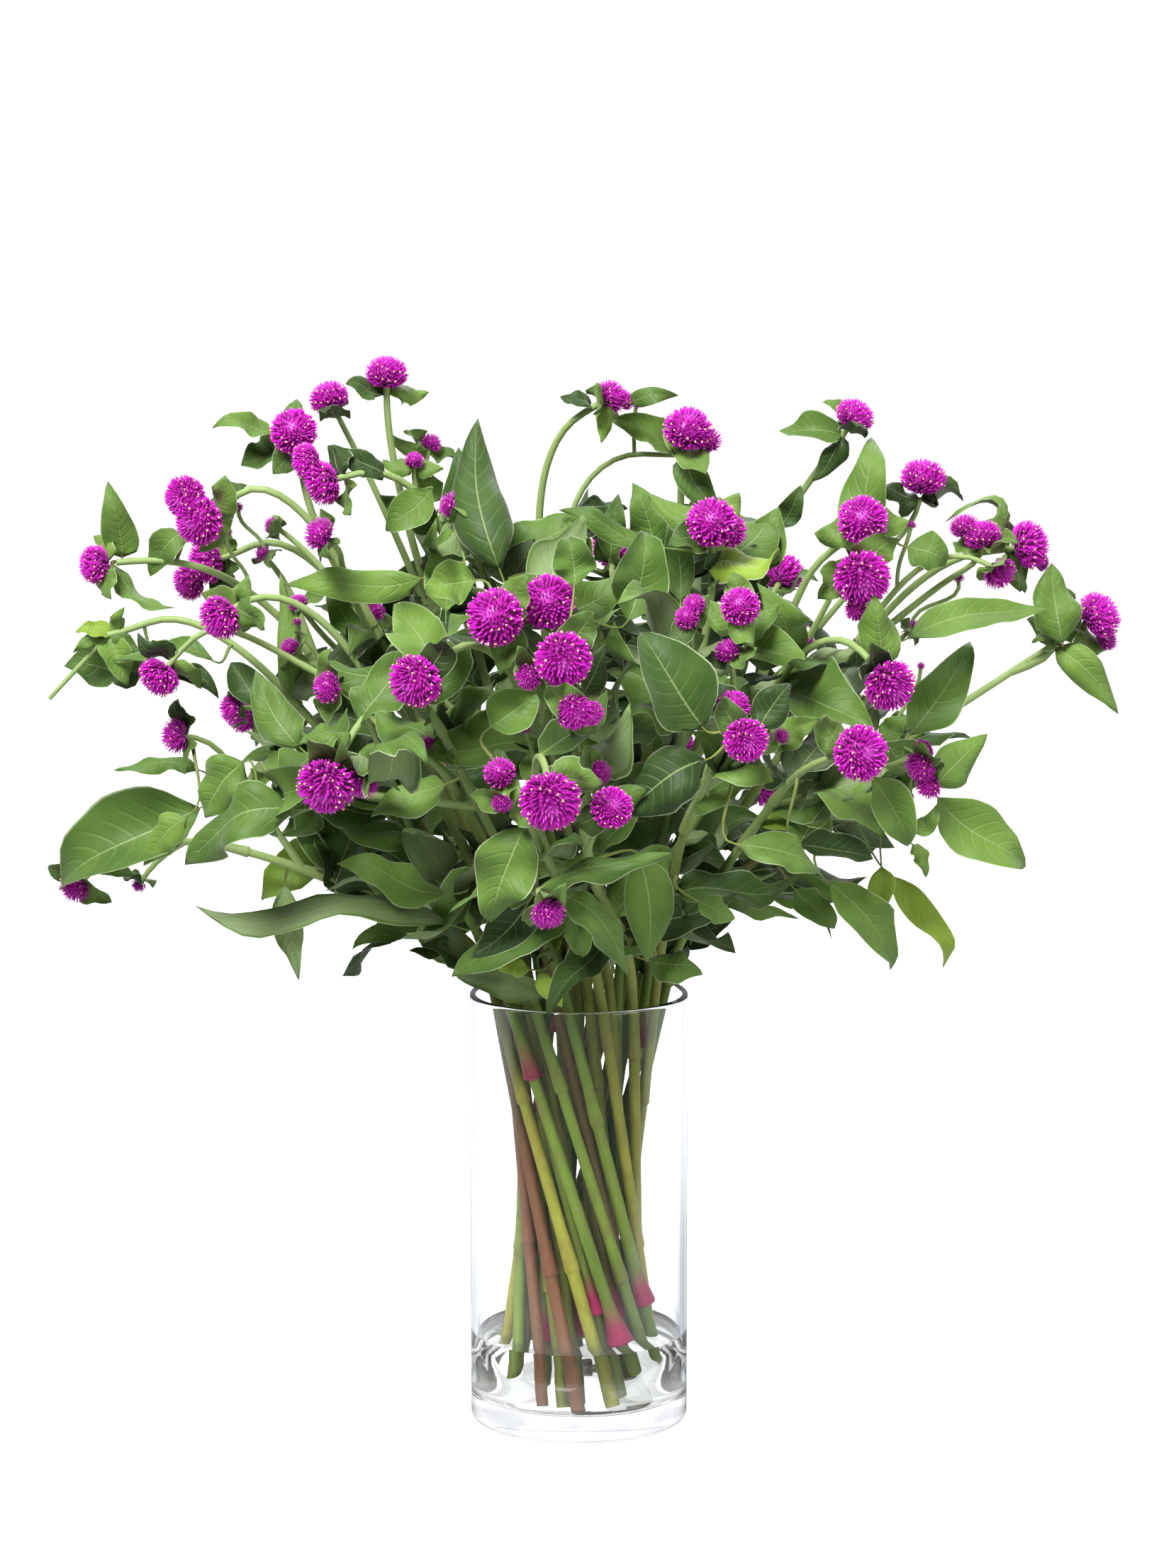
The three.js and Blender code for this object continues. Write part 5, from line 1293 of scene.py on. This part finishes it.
# Beside every second outer stem a short one stands further in, as the sheaf is denser than its solids
def innerStalk(stalk):
    foot = Quaternion((0, 0, 1), math.radians(stalkLook["innerTurn"])) @ stalk["foot"]
    foot = Vector((foot.x, foot.y, 0)) * stalkLook["innerShare"] + Vector((0, 0, foot.z))
    line = [foot, sheafPoint(foot, vaseTop), sheafPoint(foot, vaseTop + stalkLook["innerPast"])]
    return {"main": True, "foot": foot, "line": line, "smooth": line}


def nearestOn(lines, point):
    best = (math.inf, point)
    for line in lines:
        for a, b in zip(line, line[1:]):
            way = b - a
            share = min(max((point - a).dot(way) / max(way.length_squared, 1e-9), 0), 1)
            at = a + way * share
            best = min(best, ((at - point).length, at), key=lambda found: found[0])
    return best[1]


for stem in range(len(stems)):
    first, *others = [stalk for stalk in stalks if stalk["node"] == f"stem_{stem + 1:02d}"]
    first["smooth"] = smoothLine(first)
    for stalk in others:
        stalk["smooth"] = smoothLine(stalk, nearestOn([first["smooth"]], stalk["control"][0]))
holds = np.array([point for stalk in stalks for point in stalk["smooth"] if point.z > vaseTop])


# A leaf far from its own stalk sits on the nearest one behind its foot
def rootOf(leaf, lines):
    foot = leaf["foot"]
    root = nearestOn(lines, leaf["root"] or foot)
    if (foot - root).length < leafLook["farFoot"]:
        return root
    axis = np.array((leaf["tip"] - foot).normalized())
    way = np.array(foot) - holds
    back = way @ axis
    off = np.abs(way - np.outer(back, axis)).sum(axis=1)
    cost = np.abs(way) @ leafLook["farCost"] + off - 2 * np.minimum(back, 0)
    return Vector(holds[cost.argmin()])


# Heads: papery pointed bracts that fan out from the stalk, over a smaller core, with tiny star florets
headLook = {"core": 0.7, "golden": math.pi * (3 - math.sqrt(5)), "lowest": -0.92, "fanFrom": -0.5,
            "long": 0.5, "wide": 0.07, "thick": 0.034, "flare": 0.05, "reach": 1.04, "vary": 0.1,
            "point": 1.2, "tightCrown": 0.6, "crownFrom": 0.7, "crownOver": 0.3, "swing": 0.35,
            "starRadius": 0.062, "starDeep": 0.07, "starZone": (-0.35, 0.8), "starReach": 1.03,
            "starWaist": 0.45, "seeds": (11, 23), "largeFrom": 17, "smallFrom": 9}
headKinds = {"large": (380, 36, 3), "small": (190, 14, 2), "bud": (80, 0, 1)}


def onGlobe(z, turn):
    flat = math.sqrt(max(0, 1 - z * z))
    return Vector((flat * math.cos(turn), flat * math.sin(turn), z))


def squashed(v, reach=1):
    tall = headShape["squash"] if v.z > 0 else headShape["under"]
    return Vector((v.x, v.y, v.z * tall)) * reach


def addBract(shape, layers, out, seed):
    surface = squashed(out)
    way = (surface - Vector((0, 0, headLook["fanFrom"]))).normalized()
    crown = max(0, (out.z - headLook["crownFrom"]) / headLook["crownOver"])
    tight = 1 - headLook["tightCrown"] * crown ** 1.5
    long = headLook["long"] * (0.6 + 0.4 * tight) * (1 + headLook["vary"] * (2 * draw(seed) - 1))
    reach = 1 + headLook["vary"] * (draw(seed + 0.4) - 0.6)
    tip = surface * headLook["reach"] * reach * (0.93 + 0.07 * tight)
    base = tip - way * long
    across = way.cross(Vector((0, 0, 1)))
    across = across.normalized() if across.length > 0.01 else Vector((1, 0, 0))
    back = way.cross(across)
    back = back if back.dot(Vector((out.x, out.y, 0))) > 0 else -back
    wide = headLook["wide"] * (0.6 + 0.4 * tight)
    made = bmesh.ops.create_uvsphere(shape, u_segments=4, v_segments=4, radius=1)
    for v in made["verts"]:
        x, y, t = v.co.x, v.co.y, (v.co.z + 1) / 2
        share = t ** headLook["point"]
        body = 1.2 - 0.5 * share
        v.co = (base + way * (share * long) + across * (x * wide * body)
                + back * (y * headLook["thick"] * body + headLook["flare"] * share * share * long))
        v[layers["lift"]] = share
        v[layers["crown"]] = out.z
        v[layers["tone"]] = draw(seed + 0.9)


def addStar(shape, layers, out, seed):
    radius = headLook["starRadius"] * (0.8 + 0.4 * draw(seed))
    made = bmesh.ops.create_cone(shape, cap_ends=True, segments=10, radius1=radius, radius2=0,
                                 depth=headLook["starDeep"])
    turn = out.to_track_quat("Z", "Y") @ Quaternion((0, 0, 1), draw(seed + 0.5) * math.pi)
    for v in made["verts"]:
        waist = round(math.atan2(v.co.y, v.co.x) / (math.pi / 5)) % 2
        shrink = headLook["starWaist"] if waist else 1
        corner = turn @ Vector((v.co.x * shrink, v.co.y * shrink, v.co.z))
        v.co = squashed(out, headLook["starReach"]) + corner
        v[layers["tone"]] = 1
    for face in {face for v in made["verts"] for face in v.link_faces}:
        face.material_index = 1


def headTemplate(count, stars, subdivisions, seed):
    shape = newShape()
    layers = {name: shape.verts.layers.float[name] for name in ("lift", "crown", "tone")}
    core = bmesh.ops.create_icosphere(shape, subdivisions=subdivisions, radius=headLook["core"])
    for v in core["verts"]:
        v[layers["crown"]] = v.co.normalized().z
        v.co = squashed(v.co)
    for n in range(count):
        z = 1 - (1 - headLook["lowest"]) * (n + 0.5) / count
        turn = n * headLook["golden"] + draw(seed + n) * headLook["swing"]
        addBract(shape, layers, onGlobe(z, turn), seed + n * 0.73)
    low, high = headLook["starZone"]
    for n in range(stars):
        z = low + (high - low) * (n + draw(seed + n * 1.3)) / max(stars, 1)
        addStar(shape, layers, onGlobe(z, n * headLook["golden"] * 1.7 + seed), seed + n)
    mesh = bpy.data.meshes.new("headTemplate")
    shape.to_mesh(mesh)
    shape.free()
    return mesh


templates = {kind: [headTemplate(*headKinds[kind], seed) for seed in headLook["seeds"]] for kind in headKinds}
print("head shapes made")


def addHead(shape, centre, way, d, seed):
    kind = "large" if d >= headLook["largeFrom"] else ("small" if d >= headLook["smallFrom"] else "bud")
    template = templates[kind][int(draw(seed) * 1.999)]
    before = len(shape.verts)
    shape.from_mesh(template)
    shape.verts.ensure_lookup_table()
    fresh = shape.verts[before:]
    turn = way.to_track_quat("Z", "Y") @ Quaternion((0, 0, 1), draw(seed + 0.2) * 2 * math.pi)
    place = Matrix.LocRotScale(centre, turn, Vector((d / 2, d / 2, d / 2)))
    bmesh.ops.transform(shape, matrix=place, verts=fresh)


def headsOf(stalk):
    tip = stalk["tip"]
    heads = [(stalk["centre"], tip["d"])]
    for dx, dz, d in tip.get("beside", []):
        heads.append((stalk["centre"] + Vector((dx, headSeat["behind"], dz)), d))
    return heads


budStalk = {"radius": 0.95, "rise": 0.5, "swing": 0.6, "count": 8, "sides": 6, "height": 0.95}
bareEnd = {"radii": (1.2, 1.1, 1), "sides": 7, "height": 0.9}


def addBudStalk(shape, bud, root, tone):
    swing = budStalk["swing"]
    lean = Vector((draw(bud["seed"]) - 0.5, -draw(bud["seed"] + 0.2), 0)) * swing
    bud["way"] = (Vector((0, 0, 1)) + lean).normalized()
    far = (bud["centre"] - root).length
    line = bezier(root, root + Vector((0, 0, far * budStalk["rise"])),
                  bud["centre"] - bud["way"] * far * budStalk["rise"], bud["centre"], budStalk["count"])
    addTube(shape, line, [budStalk["radius"]] * len(line), budStalk["sides"], tone,
            [budStalk["height"]] * len(line))


def addBareEnd(shape, end, cut, tone):
    line = [end, end.lerp(cut, 0.5), cut]
    addTube(shape, line, bareEnd["radii"], bareEnd["sides"], tone, [bareEnd["height"]] * len(line))


def hasInner(foot):
    turn = round(math.degrees(math.atan2(foot.y, foot.x)) / (2 * stalkLook["innerTurn"]))
    return math.hypot(foot.x, foot.y) > stalkLook["innerFrom"] and turn % 2


def buildStem(index):
    node = f"stem_{index + 1:02d}"
    mine = [stalk for stalk in stalks if stalk["node"] == node]
    shape = newShape()
    lines = [stalk["smooth"] for stalk in mine]
    for n, stalk in enumerate(mine):
        addStalk(shape, stalk, index + n * 0.31)
    if hasInner(mine[0]["foot"]):
        addStalk(shape, innerStalk(mine[0]), index + 0.5)
    tone = draw(index * 3.7)
    myBuds = [bud for bud in buds if bud["node"] == node]
    for bud in myBuds:
        addBudStalk(shape, bud, nearestOn(lines, bud["root"]), tone)
    if stems[index].get("bareEnd"):
        addBareEnd(shape, mine[0]["end"], seenAt(*stems[index]["bareEnd"], mine[0]["end"].y), tone)
    for leaf in (leaf for leaf in leaves if leaf["node"] == node):
        root = rootOf(leaf, lines)
        near = leaf["root"] is None or (leaf["foot"] - root).length < leafShape["stalked"]
        foot = root if near else leaf["foot"]
        addPetiole(shape, leaf, root, foot, tone)
        addLeaf(shape, leaf, foot)
    finish(shape, f"leafyStem_{index + 1:02d}", ("stalk", "leaf"), [node],
           ("across", "along", "under", "tone", "blush"))
    small = [stalk for stalk in mine if stalk["tip"]["d"] and not stalk["own"]]
    if small or myBuds:
        shape = newShape()
        for n, stalk in enumerate(small):
            for m, (centre, d) in enumerate(headsOf(stalk)):
                addHead(shape, centre, stalk["way"], d, index * 5 + n + m * 0.3)
        for bud in myBuds:
            addHead(shape, bud["centre"], bud["way"], bud["d"], bud["seed"])
        finish(shape, f"smallHeads_{index + 1:02d}", ("bract", "floret"), [node],
               ("lift", "crown", "tone"))


for index in range(len(stems)):
    buildStem(index)
print("leafy stems built")

for n, stalk in enumerate(headsFound):
    shape = newShape()
    for m, (centre, d) in enumerate(headsOf(stalk)):
        addHead(shape, centre, stalk["way"], d, n * 7 + m * 0.3)
    finish(shape, f"head_{n + 1:02d}", ("bract", "floret"), [headNodes[n]],
           ("lift", "crown", "tone"))
print("large heads built")


# Vase and water: turned from one profile each. A second point close to each end of a bend keeps the
# straight walls true.
vaseLook = {"wall": 3, "floor": 12, "foot": 3, "inner": 5, "rim": 1.5, "steps": 128, "arc": 8, "hold": 0.4}
waterLook = {"into": 0.1, "meniscus": 1.2, "creep": 3}


def arc(x, z, radius, first, last):
    turns = [math.radians(first + (last - first) * k / vaseLook["arc"]) for k in range(vaseLook["arc"] + 1)]
    bend = [(x + radius * math.cos(turn), z + radius * math.sin(turn)) for turn in turns]
    spin = math.copysign(vaseLook["hold"], last - first)
    first, last = turns[0], turns[-1]
    return [(bend[0][0] + spin * math.sin(first), bend[0][1] - spin * math.cos(first)), *bend,
            (bend[-1][0] - spin * math.sin(last), bend[-1][1] + spin * math.cos(last))]


def turned(shape, profile):
    verts = [shape.verts.new((x, 0, z)) for x, z in profile]
    edges = [shape.edges.new(pair) for pair in zip(verts, verts[1:])]
    bmesh.ops.spin(shape, geom=verts + edges, cent=(0, 0, 0), axis=(0, 0, 1), dvec=(0, 0, 0),
                   angle=2 * math.pi, steps=vaseLook["steps"], use_merge=True)
    bmesh.ops.remove_doubles(shape, verts=shape.verts, dist=0.001)
    bmesh.ops.recalc_face_normals(shape, faces=shape.faces)


def buildVase():
    r, wall, floor = vaseRadius, vaseLook["wall"], vaseLook["floor"]
    foot, inner, rim = vaseLook["foot"], vaseLook["inner"], vaseLook["rim"]
    profile = [(0, 0), *arc(r - foot, foot, foot, -90, 0), *arc(r - rim, vaseTop - rim, rim, 0, 180),
               *arc(r - wall - inner, floor + inner, inner, 0, -90), (0, floor)]
    shape = newShape()
    turned(shape, profile)
    finish(shape, "glassVase", ("glass",), ["vase"], ())


def buildWater():
    r = vaseRadius - vaseLook["wall"] + waterLook["into"]
    inner, low = vaseLook["inner"], vaseLook["floor"] - waterLook["into"]
    creep = [(r - waterLook["creep"] * k / 4, waterTop + waterLook["meniscus"] * (1 - k / 4) ** 3)
             for k in range(5)]
    shape = newShape()
    turned(shape, [(0, low), *arc(r - inner, low + inner, inner, -90, 0), *creep, (0, waterTop)])
    finish(shape, "clearWater", ("water",), ["water"], ())


buildVase()
buildWater()
print("vase and water built")


# Stage, light and camera. The white behind is brighter than the room in front, as in the photograph.
# The floor and the world are white where they are seen, and dimmer as light, so that the foliage keeps
# its depth and the glass reflects little.
stageLook = {"half": 6, "below": 0.2, "floor": 0.4, "glow": 1.0, "front": 0.12, "back": 1.15, "dim": 0.36,
             "glowFrom": (-0.3, -0.15), "mirrored": (0.06, 0.065, 0.08), "paintedEdgeFrom": (0.1, 0.42),
             "side": (0.16, 0.2, 0.3), "nearest": 0.12, "seenFront": 0.4, "seenAbove": 1.0,
             "frontToBack": (-0.3, 0.5), "inVase": 0.04, "keyInVase": 2.7,
             "keyFrom": (-0.35, -0.75, 0.56), "keySpan": (0.45, 0.95), "lightsAim": (0, 0, 0.28)}
lights = {
    "softKey": {"at": (-0.8, -1.6, 2.4), "size": 1.1, "power": 135},
    "softFill": {"at": (1.8, -1.4, 0.9), "size": 1.4, "power": 22},
    "backLight": {"at": (0.4, 1.4, 1.8), "size": 1.6, "power": 28},
}


# The share of a light ray that is seen directly, that comes through glass, that is mirrored, that lights
# the stems in the vase, and that comes through more than one wall of the vase
def sightShares(tree):
    path = tree.nodes.new("ShaderNodeLightPath")
    direct = mathNode(tree, "LESS_THAN", path.outputs["Diffuse Depth"], 0.5)
    through = mathNode(tree, "MULTIPLY", path.outputs["Is Transmission Ray"], direct)
    within, deep = (mathNode(tree, "GREATER_THAN", path.outputs["Transmission Depth"], least)
                    for least in (0.5, 2.5))
    inVase = mathNode(tree, "SUBTRACT", within, direct, clamp=True)
    return path.outputs["Is Camera Ray"], through, path.outputs["Is Glossy Ray"], inVase, deep


def buildStage():
    bm = bmesh.new()
    bmesh.ops.create_grid(bm, x_segments=1, y_segments=1, size=stageLook["half"])
    bmesh.ops.translate(bm, vec=(0, 0, -stageLook["below"] * mm), verts=bm.verts)
    mesh = bpy.data.meshes.new("floor")
    bm.to_mesh(mesh)
    bm.free()
    material, tree, shader = newMaterial("paleFloor", Roughness=0.9, Specular_IOR_Level=0.0)
    white = stageLook["floor"]
    plain = mixColour(tree, mottle(tree, 3, 2), (white, white, white), (white + 0.02,) * 3)
    parts = placeOf(tree)
    seen, through, mirrored, _, deep = sightShares(tree)
    behind = smoothStep(tree, parts.outputs["Y"], *stageLook["glowFrom"])
    # Seen through the glass towards the sides, the floor glows blue-grey: painted reflections that draw the
    # vase's edges
    off = mathNode(tree, "SUBTRACT", mathNode(tree, "ABSOLUTE", parts.outputs["X"]), vaseRadius * mm)
    past = mathNode(tree, "MAXIMUM", parts.outputs["Y"], stageLook["nearest"])
    slant = mathNode(tree, "DIVIDE", off, past)
    side = mathNode(tree, "MULTIPLY", smoothStep(tree, slant, *stageLook["paintedEdgeFrom"]), through)
    link(tree, mixColour(tree, side, (1, 1, 1), stageLook["side"]), shader.inputs["Emission Color"])
    dark = mathNode(tree, "MULTIPLY", mathNode(tree, "MAXIMUM", through, mirrored),
                    mathNode(tree, "SUBTRACT", 1, behind))
    link(tree, mixColour(tree, dark, plain, stageLook["mirrored"]), shader.inputs["Base Color"])
    lit = mathNode(tree, "MAXIMUM", behind, mathNode(tree, "MULTIPLY", deep, stageLook["seenFront"]))
    shown = mathNode(tree, "MAXIMUM", seen, mathNode(tree, "MULTIPLY", through, lit))
    link(tree, mathNode(tree, "MULTIPLY", shown, stageLook["glow"]), shader.inputs["Emission Strength"])
    mesh.materials.append(material)
    floor = bpy.data.objects.new("floor", mesh)
    bpy.context.scene.collection.objects.link(floor)


def buildWorld():
    world = bpy.data.worlds.new("whiteStudio")
    world.use_nodes = True
    tree = world.node_tree
    shade = tree.nodes["Background"]
    shade.inputs["Color"].default_value = (1, 1, 1, 1)
    place = tree.nodes.new("ShaderNodeTexCoord")
    parts = tree.nodes.new("ShaderNodeSeparateXYZ")
    link(tree, place.outputs["Generated"], parts.inputs[0])
    seen, through, _, inVase, deep = sightShares(tree)
    above = mathNode(tree, "MULTIPLY", through, deep)
    front = mathNode(tree, "MULTIPLY_ADD", above, stageLook["seenAbove"], stageLook["front"])
    strength = smoothStep(tree, parts.outputs["Y"], *stageLook["frontToBack"], front, stageLook["back"])
    toKey = tree.nodes.new("ShaderNodeVectorMath")
    toKey.operation = "DOT_PRODUCT"
    toKey.inputs[1].default_value = stageLook["keyFrom"]
    link(tree, place.outputs["Generated"], toKey.inputs[0])
    keyed = smoothStep(tree, toKey.outputs["Value"], *stageLook["keySpan"], stageLook["inVase"],
                       stageLook["keyInVase"])
    share = mathNode(tree, "MULTIPLY_ADD", mathNode(tree, "MAXIMUM", seen, through),
                     1 - stageLook["dim"], stageLook["dim"])
    extra = mathNode(tree, "MULTIPLY", inVase, keyed)
    light = mathNode(tree, "MULTIPLY_ADD", strength, share, extra)
    link(tree, mathNode(tree, "MAXIMUM", light, seen), shade.inputs["Strength"])
    bpy.context.scene.world = world


def buildLights():
    aim = Vector(stageLook["lightsAim"])
    for name, light in lights.items():
        data = bpy.data.lights.new(name, "AREA")
        data.size = light["size"]
        data.energy = light["power"]
        lamp = bpy.data.objects.new(name, data)
        lamp.location = light["at"]
        lamp.rotation_euler = (aim - lamp.location).to_track_quat("-Z", "Y").to_euler()
        bpy.context.scene.collection.objects.link(lamp)


def buildCamera():
    data = bpy.data.cameras.new("camera")
    data.lens = cameraSettings["lens"]
    data.sensor_width = cameraSettings["sensor"]
    camera = bpy.data.objects.new("camera", data)
    camera.location = cameraSettings["at"]
    camera.rotation_euler = (math.radians(90 - cameraSettings["down"]), 0, 0)
    bpy.context.scene.collection.objects.link(camera)
    bpy.context.scene.camera = camera


buildStage()
buildWorld()
buildLights()
buildCamera()
bpy.context.scene.view_settings.view_transform = "Standard"
print("stage, lights and camera set")
